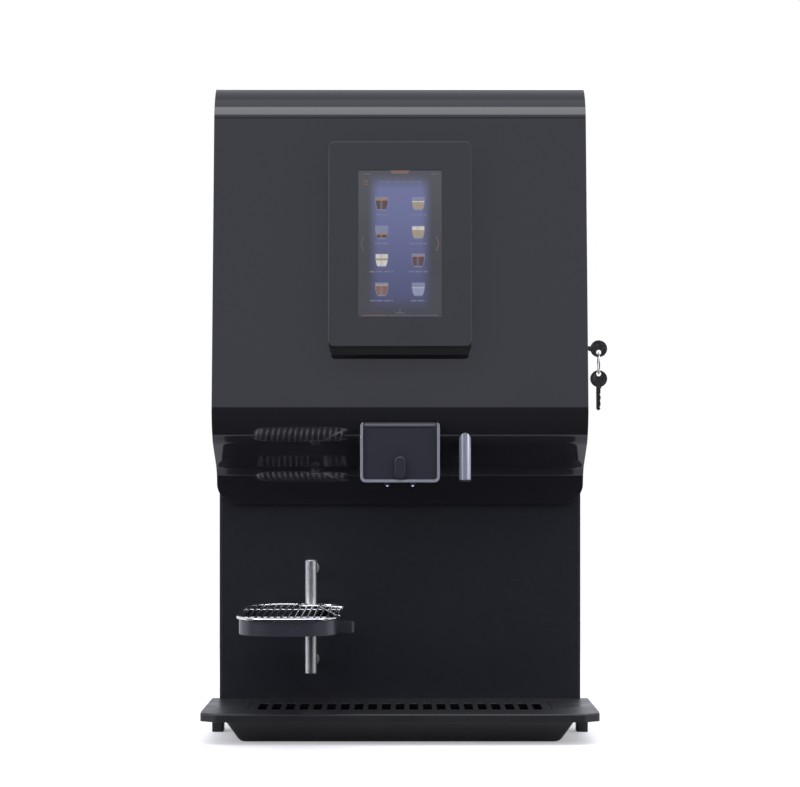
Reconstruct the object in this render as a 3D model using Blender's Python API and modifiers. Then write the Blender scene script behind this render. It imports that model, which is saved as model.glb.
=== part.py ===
"""Table-top hot drinks vending machine for instant powders, as separate parts.

Metres, +Z up, viewer at -Y, +X to the viewer's right. The origin is on the counter, on the centre
plane, in the plane of the cabinet's front flanges. Rest pose: door shut and unlocked, top cover
shut, cup platform swung out towards the viewer.
"""
import math

import bmesh
import bpy
from mathutils import Matrix, Vector

# ---------------------------------------------------------------- driving sizes
CLEAR = 0.0003            # gap between pieces that touch
SHEET = 0.0015            # sheet metal of the cabinet

CABINET_WIDTH = 0.450
CABINET_DEPTH = 0.350
CABINET_TOP = 0.787
FOOT_HEIGHT = 0.030
FOOT_RADIUS = 0.014
FOOT_INSET = 0.040
FRONT_FLANGE = 0.025
REAR_FLANGE = 0.020
TOP_COVER_HEIGHT = 0.013
RAIL_TOP = 0.317          # lower rail, under the mixers
RAIL_HEIGHT = 0.0215
SHELF_TOP = 0.509         # hoppers stand here
SHELF_SKIRT = 0.013
INNER_WALL_Y = 0.235
MIXING_PLATE_Y = 0.0447

DOOR_OVERHANG = 0.00225
DOOR_BACK = 0.006         # back plane of the door, in front of the flanges
DOOR_TOP = 0.797
DOOR_BOTTOM = 0.2805
DOOR_SLOPE = 0.1205       # how far the front leans out for each metre down
DOOR_SLOPE_DEPTH = 0.0954 # depth of the front at the reference height
DOOR_SLOPE_Z = 0.420
BULGE_Z = 0.3689          # where the lines of front and underside cross
LIP_Z = 0.3205            # where the lines of underside and lip cross
LIP_DEPTH = 0.0094
LIP_EDGE_DEPTH = 0.006
TOP_ROLL = 0.054
BULGE_ROLL = 0.046
LIP_ROLL = 0.028
COVER_SHEET = 0.0035
LIP_CORNER = 0.028
CAP_SHEET = 0.002
CAP_INSET = 0.002
CAP_FLANGE = 0.020

HINGE_BESIDE = 0.0012      # hinge axis beyond the side of the cabinet
HINGE_X = -CABINET_WIDTH / 2 - HINGE_BESIDE
HINGE_OUT = 0.003         # hinge axis in front of the flanges
KNUCKLE_RADIUS = 0.0025
HINGE_PIN_RADIUS = 0.0012
PIN_RUNNING_GAP = 0.00015
HINGE_PLATE = 0.0014
HINGE_PLATE_REACH = 0.0225
UPPER_HINGE = (0.687, 0.735)
LOWER_HINGE = (0.323, 0.3925)

TOUCH_WIDTH = 0.173
TOUCH_HEIGHT = 0.2515
TOUCH_CENTRE_Z = 0.5945
TOUCH_PROUD = 0.0245
TOUCH_PLATE = 0.005
TOUCH_BOX_MARGIN = 0.010
TOUCH_HOOK = 0.009
SCREEN_WIDTH = 0.101
SCREEN_HEIGHT = 0.180
SCREEN_RECESS = 0.002

HEAD_WIDTH = 0.0957
HEAD_BOTTOM = 0.3096
HEAD_TOP = 0.383
HEAD_FRONT = 0.110        # in front of the flanges
HEAD_REAR = 0.031
HEAD_TRIM = 0.0032
NOZZLE_SPACING = 0.031
NOZZLE_RADIUS = 0.0035
SPOUT_X = 0.0787
SPOUT_RADIUS = 0.0073
SPOUT_OUT = 0.0895
SPOUT_BOTTOM = 0.312
SPOUT_TOP = 0.3665

LOCK_OUT = 0.0266
LOCK_Z = 0.473
LOCK_RADIUS = 0.0085
LOCK_COLLAR_RADIUS = 0.0127
CAM_X = 0.2134
CAM_LENGTH = 0.036
CAM_WIDTH = 0.006
STRIKE_SLOT = (0.007, 0.031)
STRIKE_Z = 0.485
KEY_THICK = 0.002
KEY_BOW_RADIUS = 0.0105
KEY_HOLE_RADIUS = 0.0035
KEY_RING_RADIUS = 0.0133
KEY_RING_WIRE = 0.0008
SPARE_KEY_LENGTH = 0.050

ROD_X = -0.109
ROD_OUT = 0.058
ROD_RADIUS = 0.00715
ROD_ENDS = (0.0737, 0.2142)
STANDOFF_RADIUS = 0.0055
STANDOFF_Z = (0.087, 0.2005)
HUB_RADIUS = 0.013
CLAMP_RADIUS = 0.0135
CLAMP_BOTTOM = 0.1310
TAB_REACH = 0.030         # flat release tab behind the rod
CATCH_START = 0.0170      # catch to the right of the rod, under the dish
CATCH_REACH = 0.0535
CATCH_Z = (0.1270, 0.1405)
PLATFORM_WIDTH = 0.119
PLATFORM_LENGTH = 0.241
PLATFORM_OFFSET = 0.0195  # centre line to the left of the rod
PLATFORM_BOTTOM = 0.1390
PLATFORM_FLOOR = 0.0020
PLATFORM_WALL = 0.0020
PLATFORM_TOP = 0.1555
PLATFORM_CORNER = 0.046
GRID_TOP = 0.1600
GRID_OVERHANG = 0.003
GRID_SLOTS = 10

TRAY_TOP = 0.038
TRAY_RIM = 0.010
TRAY_FRONT = 0.169
TRAY_REAR = 0.0025
TRAY_WIDTH_FRONT = 0.4735
TRAY_WIDTH_REAR = 0.468
TRAY_CHAMFER = (0.019, 0.013)
BOWL_TOP_HALF = 0.212
BOWL_BOTTOM_HALF = 0.191
BOWL_FRONT = (0.150, 0.130)  # at the rim and at the floor
BOWL_REAR = 0.012
TRAY_WALL = 0.0025
TONGUE = (0.080, 0.012, 0.003)  # half width, reach under the cabinet, thickness
GRILLE_WIDTH = 0.364
GRILLE_OUT = (0.045, 0.1325)
GRILLE_SHEET = 0.002
GRILLE_LEDGE = 0.003
GRILLE_BARS = 21

HOPPER_X = 0.0946
HOPPER_HALF = 0.0908
HOPPER_FRONT = 0.020
HOPPER_DEPTH = 0.195
HOPPER_WALL = 0.002
HOPPER_RIM_Z = 0.7722
HOPPER_SLOPE_Z = 0.6044   # top of the long slope
HOPPER_FLOOR_Z = 0.5145
HOPPER_LEFT_Z = 0.5389
HOPPER_FLOOR = (-0.0577, -0.0356)
LID_WALL = 0.0015
LID_SKIRT_Z = 0.7635
LID_TOP = 0.7738
AUGER_X = -0.0467         # from the hopper's centre
AUGER_Z = 0.536
AUGER_COIL = 0.0100
AUGER_WIRE = 0.0014
AUGER_TURNS = 6
OUTLET_BORE = 0.0125
OUTLET_WALL = 0.0015
OUTLET_END = -0.006
ELBOW_HOOD = 0.0245
ELBOW_FRONT = -0.040
ELBOW_REAR = -0.002
ELBOW_WALL = 0.0015
ELBOW_TIP = 0.4890
DRIVE_SHAFT = 0.004

MIXER_Y = -0.0195
BOWL_RADIUS = 0.0375
BOWL_TOP = 0.4878
BOWL_SHOULDER = 0.440
BOWL_NECK_Z = 0.416
NECK_RADIUS = 0.0125
MIXER_WALL = 0.002
CHAMBER_Z = 0.380
CHAMBER_RADIUS = 0.0185
CHAMBER_FRONT = -0.036
FLANGE_RADIUS = 0.036
FLANGE_THICK = 0.010
TAB_RADIUS = 0.016
TAB_Z = 0.333
OUTLET_Z = 0.357
OUTLET_RADIUS = 0.008
BARB_RADIUS = 0.0050
BARB_REACH = 0.019
MOTOR_RADIUS = 0.021
MOTOR_LENGTH = 0.050
SLEEVE_RADIUS = 0.011
WHIPPER_RADIUS = 0.0125
WHIPPER_SHAFT = 0.0032
SHAFT_BORE = 0.0040

MANIFOLD_HALF = 0.0345
MANIFOLD_Z = (0.302, 0.319)
MANIFOLD_Y = (-0.0095, 0.0120)
UPSTAND_X = 0.0146
UPSTAND_RADIUS = 0.0045
UPSTAND_TOP = 0.349
HOSE_RADIUS = 0.0080
THIN_HOSE_RADIUS = 0.0065
DOOR_HOSE_RADIUS = 0.0075
GROMMET_X = -0.174
GROMMET_Z = 0.417
CENTRE_GROMMET_Z = 0.365

ROCKER_X = 0.1775
ROCKER_Z = 0.4411
ROCKER_SIZE = (0.0185, 0.0385)
ROCKER_THICK = 0.010

HALF = CABINET_WIDTH / 2
DOOR_HALF = HALF + DOOR_OVERHANG
WHOLE = 20                # sides of a round piece
SMALL = 12                # sides of a small round piece

parts = bpy.data.collections.new("drinks_machine")


# ---------------------------------------------------------------- modelling helpers
def active_mesh(name):
    """Take the primitive just added as a named part with its scale in its mesh."""
    item = bpy.context.active_object
    item.name = item.data.name = name
    item.data.transform(item.matrix_basis)
    item.matrix_basis = Matrix.Identity(4)
    return item


def block(name, low, high):
    bpy.ops.mesh.primitive_cube_add(size=1, location=(Vector(low) + Vector(high)) / 2)
    bpy.context.active_object.scale = Vector(high) - Vector(low)
    bpy.context.view_layer.update()
    return active_mesh(name)


def rod(name, radius, start, end, sides=WHOLE, end_radius=None):
    """A cylinder, or a cone where end_radius differs, from start to end."""
    start, end = Vector(start), Vector(end)
    run = end - start
    bpy.ops.mesh.primitive_cone_add(
        vertices=sides, radius1=radius, radius2=radius if end_radius is None else end_radius,
        depth=run.length, location=(start + end) / 2,
        rotation=run.to_track_quat("Z", "Y").to_euler())
    bpy.context.view_layer.update()
    return active_mesh(name)


def to_mesh(item):
    """Swap a curve, or an object with modifiers, for its evaluated mesh."""
    bpy.context.view_layer.update()
    graph = bpy.context.evaluated_depsgraph_get()
    mesh = bpy.data.meshes.new_from_object(item.evaluated_get(graph))
    shape = bmesh.new()
    shape.from_mesh(mesh)
    bmesh.ops.remove_doubles(shape, verts=shape.verts, dist=1e-6)
    bmesh.ops.recalc_face_normals(shape, faces=shape.faces)
    shape.to_mesh(mesh)
    shape.free()
    name, place = item.name, item.matrix_world.copy()
    bpy.data.objects.remove(item)
    made = bpy.data.objects.new(name, mesh)
    made.name = mesh.name = name
    mesh.transform(place)
    bpy.context.scene.collection.objects.link(made)
    return made


def boolean(item, tool, operation):
    step = item.modifiers.new(operation.lower(), "BOOLEAN")
    step.operation, step.object, step.solver = operation, tool, "EXACT"
    done = to_mesh(item)
    bpy.data.objects.remove(tool)
    return done


def cut(item, *cutters):
    for tool in cutters:
        item = boolean(item, tool, "DIFFERENCE")
    return item


def join(item, *others):
    for tool in others:
        item = boolean(item, tool, "UNION")
    return item


def outline(name, points, thickness, place=Matrix.Identity(4)):
    """A flat outline in local XY, extruded both ways by half its thickness, then placed."""
    curve = bpy.data.curves.new(name, "CURVE")
    curve.dimensions, curve.fill_mode, curve.extrude = "2D", "BOTH", thickness / 2
    spline = curve.splines.new("POLY")
    spline.points.add(len(points) - 1)
    for knot, (x, y) in zip(spline.points, points):
        knot.co = (x, y, 0, 1)
    spline.use_cyclic_u = True
    item = bpy.data.objects.new(name, curve)
    bpy.context.scene.collection.objects.link(item)
    item.matrix_world = place
    return to_mesh(item)


def front_view(y):
    """Local XY becomes world XZ, centred on y."""
    return Matrix.Translation((0, y, 0)) @ Matrix.Rotation(math.pi / 2, 4, "X")


def side_view(x):
    """Local XY becomes distance in front of the flanges and height, centred on x."""
    return Matrix(((0, 0, -1, x), (-1, 0, 0, 0), (0, 1, 0, 0), (0, 0, 0, 1)))


def plan_view(z):
    return Matrix.Translation((0, 0, z))


def turned(name, profile, place=Matrix.Identity(4), steps=WHOLE):
    """Revolve (radius, height) points, given top to bottom down the outside, about local Z."""
    mesh = bpy.data.meshes.new(name)
    mesh.from_pydata([(r, 0, z) for r, z in profile],
                     [(i, i + 1) for i in range(len(profile) - 1)], [])
    item = bpy.data.objects.new(name, mesh)
    bpy.context.scene.collection.objects.link(item)
    screw = item.modifiers.new("turn", "SCREW")
    screw.axis, screw.steps, screw.render_steps = "Z", steps, steps
    screw.use_merge_vertices, screw.merge_threshold = True, 1e-5
    item.matrix_world = place
    return to_mesh(item)


def tube(name, points, radius, resolution=2):
    """A round bar along a smooth curve through the given points."""
    curve = bpy.data.curves.new(name, "CURVE")
    curve.dimensions = "3D"
    curve.bevel_depth, curve.bevel_resolution, curve.use_fill_caps = radius, resolution, True
    path = smooth_path(points, radius * 4)
    spline = curve.splines.new("POLY")
    spline.points.add(len(path) - 1)
    for knot, place in zip(spline.points, path):
        knot.co = (*place, 1)
    item = bpy.data.objects.new(name, curve)
    bpy.context.scene.collection.objects.link(item)
    return to_mesh(item)


def smooth_path(points, spacing):
    """Points along a Catmull-Rom curve through the route's own points."""
    knots = [Vector(p) for p in points]
    knots = [2 * knots[0] - knots[1], *knots, 2 * knots[-1] - knots[-2]]
    path = [knots[1]]
    for a, b, c, d in zip(knots, knots[1:], knots[2:], knots[3:]):
        count = max(1, round((c - b).length / spacing))
        for i in range(1, count + 1):
            t = i / count
            path.append(0.5 * (2 * b + (c - a) * t + (2 * a - 5 * b + 4 * c - d) * t * t
                               + (3 * b - a - 3 * c + d) * t ** 3))
    return path


def filleted(corners, radii, steps=5):
    """Replace each inner corner of an open line by an arc of its radius."""
    points = [corners[0]]
    for before, corner, after, radius in zip(corners, corners[1:], corners[2:], radii):
        p, a, b = Vector(corner), Vector(before), Vector(after)
        into, out = (a - p).normalized(), (b - p).normalized()
        half = into.angle(out) / 2
        centre = p + (into + out).normalized() * radius / math.sin(half)
        first = p + into * radius / math.tan(half) - centre
        last = p + out * radius / math.tan(half) - centre
        swing = first.angle_signed(last)
        for i in range(steps + 1):
            arm = first.copy()
            arm.rotate(Matrix.Rotation(-swing * i / steps, 2))
            points.append(tuple(centre + arm))
    points.append(corners[-1])
    return points


def arc(centre, radius, start_deg, end_deg, steps):
    turns = [math.radians(start_deg + (end_deg - start_deg) * i / steps) for i in range(steps + 1)]
    return [(centre[0] + radius * math.cos(a), centre[1] + radius * math.sin(a)) for a in turns]


def rounded_rectangle(low, high, radius, steps=4):
    (x0, y0), (x1, y1), r = low, high, radius
    return (arc((x1 - r, y0 + r), r, -90, 0, steps) + arc((x1 - r, y1 - r), r, 0, 90, steps)
            + arc((x0 + r, y1 - r), r, 90, 180, steps) + arc((x0 + r, y0 + r), r, 180, 270, steps))


def offset_outline(points, distance):
    """Move each side of a closed outline by distance, outwards when it is positive."""
    area = sum(a[0] * b[1] - b[0] * a[1] for a, b in zip(points, points[1:] + points[:1]))
    side = 1 if area > 0 else -1
    moved = []
    for a, b, c in zip(points[-1:] + points[:-1], points, points[1:] + points[:1]):
        u, v = (Vector(b) - Vector(a)).normalized(), (Vector(c) - Vector(b)).normalized()
        n, m = Vector((u.y, -u.x)) * side, Vector((v.y, -v.x)) * side
        lean = (n + m) / (1 + n.dot(m))
        moved.append(tuple(Vector(b) + lean * distance))
    return moved


def folded(name, path, low, high, thickness=SHEET):
    """Sheet folded along a plan-view path, standing from low to high, wall to the left side."""
    mesh = bpy.data.meshes.new(name)
    n = len(path)
    mesh.from_pydata([(x, y, z) for z in (low, high) for x, y in path], [],
                     [(i, i + 1, n + i + 1, n + i) for i in range(n - 1)])
    item = bpy.data.objects.new(name, mesh)
    bpy.context.scene.collection.objects.link(item)
    wall = item.modifiers.new("wall", "SOLIDIFY")
    wall.thickness, wall.offset, wall.use_even_offset = thickness, -1, True
    return to_mesh(item)


finishes = {}


def finish(item, slot, colour, roughness, metallic=0.0, angle=35):
    """Give a piece its material and smooth its round faces."""
    if slot not in finishes:
        material = bpy.data.materials.new(slot)
        material.use_nodes = True
        shader = material.node_tree.nodes["Principled BSDF"]
        shader.inputs["Base Color"].default_value = (*colour, 1)
        shader.inputs["Roughness"].default_value = roughness
        shader.inputs["Metallic"].default_value = metallic
        finishes[slot] = material
    item.data.materials.clear()
    item.data.materials.append(finishes[slot])
    item.data.shade_smooth()
    item.data.set_sharp_from_angle(angle=math.radians(angle))
    for home in list(item.users_collection):
        home.objects.unlink(item)
    parts.objects.link(item)
    return item


def black_sheet(item):
    return finish(item, "black_sheet", (0.012, 0.012, 0.014), 0.5, 0.3)


def steel_sheet(item):
    return finish(item, "steel_sheet", (0.42, 0.42, 0.43), 0.35, 1.0)


def gloss_black(item):
    return finish(item, "gloss_black", (0.010, 0.010, 0.012), 0.08)


def matte_black(item):
    return finish(item, "matte_black", (0.015, 0.015, 0.017), 0.6)


def chrome(item):
    return finish(item, "chrome", (0.8, 0.8, 0.82), 0.1, 1.0)


def milky(item):
    return finish(item, "milky", (0.72, 0.75, 0.80), 0.4)


def rubber(item):
    return finish(item, "rubber", (0.02, 0.02, 0.02), 0.8)


def hose_clear(item):
    return finish(item, "hose", (0.75, 0.80, 0.84), 0.3)


# ---------------------------------------------------------------- cabinet
def side_panel(name, side):
    """Folded side wall with a front, a rear and a top flange. side is -1 left, 1 right."""
    inner_front, inner_rear = side * (HALF - FRONT_FLANGE), side * (HALF - REAR_FLANGE)
    path = [(inner_front, 0), (side * HALF, 0), (side * HALF, CABINET_DEPTH),
            (inner_rear, CABINET_DEPTH)]
    if side < 0:
        path.reverse()
    panel = folded(name, path, FOOT_HEIGHT, CABINET_TOP)
    low_x, high_x = sorted((side * (HALF - SHEET / 2), inner_front))
    top = block("top_flange", (low_x, SHEET / 2, CABINET_TOP - SHEET),
                (high_x, CABINET_DEPTH - SHEET / 2, CABINET_TOP))
    panel = join(panel, top)
    if side > 0:
        wide, tall = STRIKE_SLOT
        slot = block("slot", (CAM_X - wide / 2, -SHEET, STRIKE_Z - tall / 2),
                     (CAM_X + wide / 2, 2 * SHEET, STRIKE_Z + tall / 2))
        panel = cut(panel, slot)
    return black_sheet(panel)


def top_cover():
    """Folded lid over the hoppers, hinged along the rear edge."""
    half = HALF - FRONT_FLANGE - CLEAR
    low = CABINET_TOP - TOP_COVER_HEIGHT
    lid = block("top_cover", (-half, 0.0005, low), (half, CABINET_DEPTH - 0.003, CABINET_TOP))
    room = block("room", (-half + SHEET, 0.0005 + SHEET, low - 0.001),
                 (half - SHEET, CABINET_DEPTH - 0.003 - SHEET, CABINET_TOP - SHEET))
    return black_sheet(cut(lid, room))


def base_plate():
    inside = HALF - SHEET - CLEAR
    return steel_sheet(block("base_plate", (-inside, 0.002, FOOT_HEIGHT),
                             (inside, CABINET_DEPTH - 0.0022, FOOT_HEIGHT + SHEET)))


def feet():
    """Four turned rubber feet under the base plate."""
    made = []
    for end, y in (("front", FOOT_INSET), ("rear", CABINET_DEPTH - FOOT_INSET)):
        for side, x in (("left", -HALF + FOOT_INSET), ("right", HALF - FOOT_INSET)):
            profile = [(0, FOOT_HEIGHT - CLEAR), (FOOT_RADIUS, FOOT_HEIGHT - CLEAR),
                       (FOOT_RADIUS, 0.008), (FOOT_RADIUS * 1.15, 0.006),
                       (FOOT_RADIUS * 1.15, 0), (0, 0)]
            place = Matrix.Translation((x, y, 0))
            made.append(rubber(turned(f"foot_{end}_{side}", profile, place, SMALL)))
    return made


def back_panel():
    """Rear wall with rows of vent slots, a mains inlet and a water inlet."""
    rear = CABINET_DEPTH - SHEET - CLEAR
    inside = HALF - SHEET - CLEAR
    panel = block("back_panel", (-inside, rear - SHEET, FOOT_HEIGHT + SHEET + CLEAR),
                  (inside, rear, CABINET_TOP - TOP_COVER_HEIGHT - 0.002))
    for column in (-1, 1):
        for row in range(5):
            z = 0.60 + row * 0.020
            panel = cut(panel, block("vent", (column * 0.085 - 0.045, rear - 0.01, z),
                                     (column * 0.085 + 0.045, rear + 0.01, z + 0.006)))
    x, z = POWER_INLET
    panel = cut(panel, block("socket", (x - 0.0140, rear - 0.01, z - 0.0115),
                             (x + 0.0140, rear + 0.01, z + 0.0115)))
    x, z = WATER_INLET
    return steel_sheet(cut(panel, rod("hole", 0.0125, (x, rear - 0.01, z), (x, rear + 0.01, z))))


POWER_INLET = (0.150, 0.095)
WATER_INLET = (-0.150, 0.095)


def power_inlet():
    """Mains inlet: a shell with a flange outside the rear wall, open to the rear."""
    x, z = POWER_INLET
    rear = CABINET_DEPTH - SHEET - CLEAR
    body = block("power_inlet", (x - 0.0137, rear - 0.022, z - 0.0112),
                 (x + 0.0137, rear + 0.002, z + 0.0112))
    flange = block("flange", (x - 0.0245, rear + CLEAR, z - 0.0112),
                   (x + 0.0245, rear + CLEAR + 0.002, z + 0.0112))
    room = block("room", (x - 0.0120, rear - 0.018, z - 0.0080),
                 (x + 0.0120, rear + 0.01, z + 0.0080))
    return matte_black(cut(join(body, flange), room))


def water_inlet():
    """Threaded water connection with a hexagon and a bore."""
    x, z = WATER_INLET
    rear = CABINET_DEPTH - SHEET - CLEAR
    pipe = rod("water_inlet", 0.0120, (x, rear - 0.012, z), (x, rear + 0.0015, z))
    hexagon = rod("hexagon", 0.0160, (x, rear - 0.020, z), (x, rear - 0.012 + CLEAR, z), 6)
    pipe = join(pipe, hexagon)
    return chrome(cut(pipe, rod("bore", 0.0085, (x, rear - 0.018, z), (x, rear + 0.02, z))))


def front_panel():
    return black_sheet(block("front_panel", (-HALF + 0.0025, -CLEAR - SHEET, 0.0335),
                             (HALF - 0.0025, -CLEAR, RAIL_TOP - RAIL_HEIGHT - 0.0005)))


def inner_wall():
    """Wall behind the hoppers, with a hole for each auger's drive."""
    inside = HALF - SHEET - CLEAR
    wall = block("inner_wall", (-inside, INNER_WALL_Y - SHEET, RAIL_TOP - RAIL_HEIGHT),
                 (inside, INNER_WALL_Y, CABINET_TOP - TOP_COVER_HEIGHT - 0.004))
    for side in (-1, 1):
        x = side * HOPPER_X + AUGER_X
        wall = cut(wall, rod("hole", DRIVE_SHAFT + 0.004, (x, INNER_WALL_Y - 0.02, AUGER_Z),
                             (x, INNER_WALL_Y + 0.02, AUGER_Z), SMALL))
    return steel_sheet(wall)


def hopper_shelf():
    """Folded shelf: a bright front rail between the flanges and a deck under the hoppers."""
    inside, front = HALF - SHEET - CLEAR, HALF - FRONT_FLANGE - CLEAR
    rail = block("hopper_shelf", (-front, 0, SHELF_TOP - SHELF_SKIRT), (front, SHEET, SHELF_TOP))
    lip = block("lip", (-front, SHEET / 2, SHELF_TOP - SHEET), (front, 0.01, SHELF_TOP))
    deck = block("deck", (-inside, SHEET + CLEAR, SHELF_TOP - SHEET),
                 (inside, INNER_WALL_Y - SHEET - CLEAR, SHELF_TOP))
    return steel_sheet(join(rail, lip, deck))


def mixing_plate():
    """Brushed plate that carries the mixers, the power switch and two hose grommets."""
    inside = HALF - SHEET - CLEAR
    y = MIXING_PLATE_Y
    plate = block("mixing_plate", (-inside, y, RAIL_TOP + CLEAR),
                  (inside, y + SHEET, SHELF_TOP - SHEET - CLEAR))
    holes = [(SLEEVE_RADIUS + 2 * CLEAR, side * HOPPER_X, CHAMBER_Z) for side in (-1, 1)]
    holes += [(DOOR_HOSE_RADIUS + 0.001, GROMMET_X, GROMMET_Z),
              (THIN_HOSE_RADIUS + 0.001, 0, CENTRE_GROMMET_Z)]
    for radius, x, z in holes:
        plate = cut(plate, rod("hole", radius, (x, y - 0.01, z), (x, y + 0.01, z)))
    wide, tall = ROCKER_SIZE
    window = block("window", (ROCKER_X - wide / 2 - CLEAR, y - 0.01, ROCKER_Z - tall / 2 - CLEAR),
                   (ROCKER_X + wide / 2 + CLEAR, y + 0.01, ROCKER_Z + tall / 2 + CLEAR))
    return steel_sheet(cut(plate, window))


def lower_rail():
    """Rail under the mixing plate, notched for the manifold."""
    inside, front = HALF - SHEET - CLEAR, HALF - FRONT_FLANGE - CLEAR
    bottom = RAIL_TOP - RAIL_HEIGHT
    face = block("lower_rail", (-front, 0, bottom), (front, SHEET, RAIL_TOP))
    lip = block("lip", (-front, SHEET / 2, RAIL_TOP - SHEET), (front, 0.01, RAIL_TOP))
    deck = block("deck", (-inside, SHEET + CLEAR, RAIL_TOP - SHEET),
                 (inside, INNER_WALL_Y - SHEET - CLEAR, RAIL_TOP))
    notch = block("notch", (-MANIFOLD_HALF - CLEAR, -0.001, MANIFOLD_Z[0] - CLEAR),
                  (MANIFOLD_HALF + CLEAR, MANIFOLD_Y[1] + CLEAR, RAIL_TOP + 0.001))
    return steel_sheet(cut(join(face, lip, deck), notch))


def cup_rod():
    """Polished rod on two stand-offs from the front panel."""
    x, y = ROD_X, -ROD_OUT
    bar = rod("cup_rod", ROD_RADIUS, (x, y, ROD_ENDS[0]), (x, y, ROD_ENDS[1]))
    for z in STANDOFF_Z:
        bar = join(bar, rod("standoff", STANDOFF_RADIUS, (x, y, z),
                            (x, -SHEET - 2 * CLEAR, z), SMALL))
    return chrome(bar)


def knuckle_relief(low, high):
    """Room in one leaf for the other leaf's knuckle, between two heights."""
    x, reach = HINGE_X, KNUCKLE_RADIUS + CLEAR
    return block("relief", (x - reach, -DOOR_BACK - 0.001, low - CLEAR / 2), (x + reach, 0.001, high + CLEAR / 2))


def hinge_plate(name, low, high):
    """Cabinet half of a hinge: a plate on the flange, two knuckles and the pin."""
    x, y = HINGE_X, -HINGE_OUT
    third = (high - low) / 3
    plate = block(name, (x + 0.0006, -CLEAR - HINGE_PLATE, low), (x + HINGE_PLATE_REACH, -CLEAR, high))
    plate = cut(plate, knuckle_relief(low + third, high - third))
    pieces = [rod("knuckle", KNUCKLE_RADIUS, (x, y, a), (x, y, a + third), SMALL)
              for a in (low, high - third)]
    pin = rod("pin", HINGE_PIN_RADIUS, (x, y, low + third / 2), (x, y, high - third / 2), SMALL)
    return matte_black(join(plate, *pieces, pin))


def door_hinge(name, low, high):
    """Door half of a hinge: a plate on the door's back and a bored middle knuckle."""
    x, y = HINGE_X, -HINGE_OUT
    third = (high - low) / 3
    back = -DOOR_BACK + CLEAR
    plate = block(name, (x + 0.0006, back, low), (x + HINGE_PLATE_REACH, back + HINGE_PLATE, high))
    plate = cut(plate, knuckle_relief(low - 0.001, low + third),
                knuckle_relief(high - third, high + 0.001))
    knuckle = rod("knuckle", KNUCKLE_RADIUS, (x, y, low + third + CLEAR),
                  (x, y, high - third - CLEAR), SMALL)
    bore = rod("bore", HINGE_PIN_RADIUS + PIN_RUNNING_GAP, (x, y, low), (x, y, high), SMALL)
    return matte_black(cut(join(plate, knuckle), bore))


def boiler():
    """Insulated water tank in the lower compartment, with a pipe stub."""
    x, y = -0.105, 0.170
    profile = [(0, 0.265), (0.050, 0.265), (0.058, 0.255), (0.058, 0.050), (0.050, 0.040),
               (0, 0.040)]
    tank = turned("boiler", profile, Matrix.Translation((x, y, 0)))
    return steel_sheet(join(tank, rod("stub", 0.006, (x, y, 0.26), (x, y, 0.285), SMALL)))


# ---------------------------------------------------------------- powder hoppers
def hopper_outline(grow=0.0):
    """Front outline of a canister about its own centre."""
    corners = [(HOPPER_HALF, HOPPER_RIM_Z), (HOPPER_HALF, HOPPER_SLOPE_Z),
               (HOPPER_FLOOR[1], HOPPER_FLOOR_Z), (HOPPER_FLOOR[0], HOPPER_FLOOR_Z),
               (-HOPPER_HALF, HOPPER_LEFT_Z), (-HOPPER_HALF, HOPPER_RIM_Z)]
    return offset_outline(filleted(corners, (0.012, 0.010, 0.010, 0.008), 3), grow)


def moved(points, dx):
    return [(x + dx, z) for x, z in points]


def hopper(name, centre):
    """Canister with a funnel floor, on a stand, with an outlet tube in front and a drive hole."""
    y0, y1 = HOPPER_FRONT, HOPPER_FRONT + HOPPER_DEPTH
    ax = centre + AUGER_X
    body = outline(name, moved(hopper_outline(), centre), y1 - y0, front_view((y0 + y1) / 2))
    half = HOPPER_HALF - 0.002
    stands = [block("stand", (centre - half, y, SHELF_TOP + CLEAR), (centre + half, y + HOPPER_WALL, 0.62))
              for y in (y0 + 0.030, y1 - 0.030)]
    keel = block("keel", (ax - 0.004, y0 + 0.031, SHELF_TOP + CLEAR), (ax + 0.004, y1 - 0.029, 0.52))
    snout = rod("snout", OUTLET_BORE + OUTLET_WALL, (ax, y0 + 0.001, AUGER_Z), (ax, OUTLET_END, AUGER_Z))
    body = join(body, *stands, keel, snout)
    inner = [(x, z + (0.01 if z > HOPPER_RIM_Z - 0.01 else 0)) for x, z in hopper_outline(-HOPPER_WALL)]
    wall = HOPPER_WALL
    room = outline("room", moved(inner, centre), y1 - y0 - 2 * wall, front_view((y0 + y1) / 2))
    bore = rod("bore", OUTLET_BORE, (ax, y0 + 0.02, AUGER_Z), (ax, OUTLET_END - 0.01, AUGER_Z))
    drive = rod("drive", DRIVE_SHAFT + CLEAR, (ax, y1 - 0.01, AUGER_Z), (ax, y1 + 0.01, AUGER_Z), SMALL)
    return milky(cut(body, room, bore, drive))


def hopper_lid(name, centre):
    """Lid that fits over the canister's rim."""
    half = HOPPER_HALF + CLEAR + LID_WALL
    y0 = HOPPER_FRONT - CLEAR - LID_WALL
    y1 = HOPPER_FRONT + HOPPER_DEPTH + CLEAR + LID_WALL
    lid = block(name, (centre - half, y0, LID_SKIRT_Z), (centre + half, y1, LID_TOP - CLEAR))
    room = block("room", (centre - half + LID_WALL, y0 + LID_WALL, LID_SKIRT_Z - 0.001),
                 (centre + half - LID_WALL, y1 - LID_WALL, HOPPER_RIM_Z + CLEAR))
    return milky(cut(lid, room))


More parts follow.
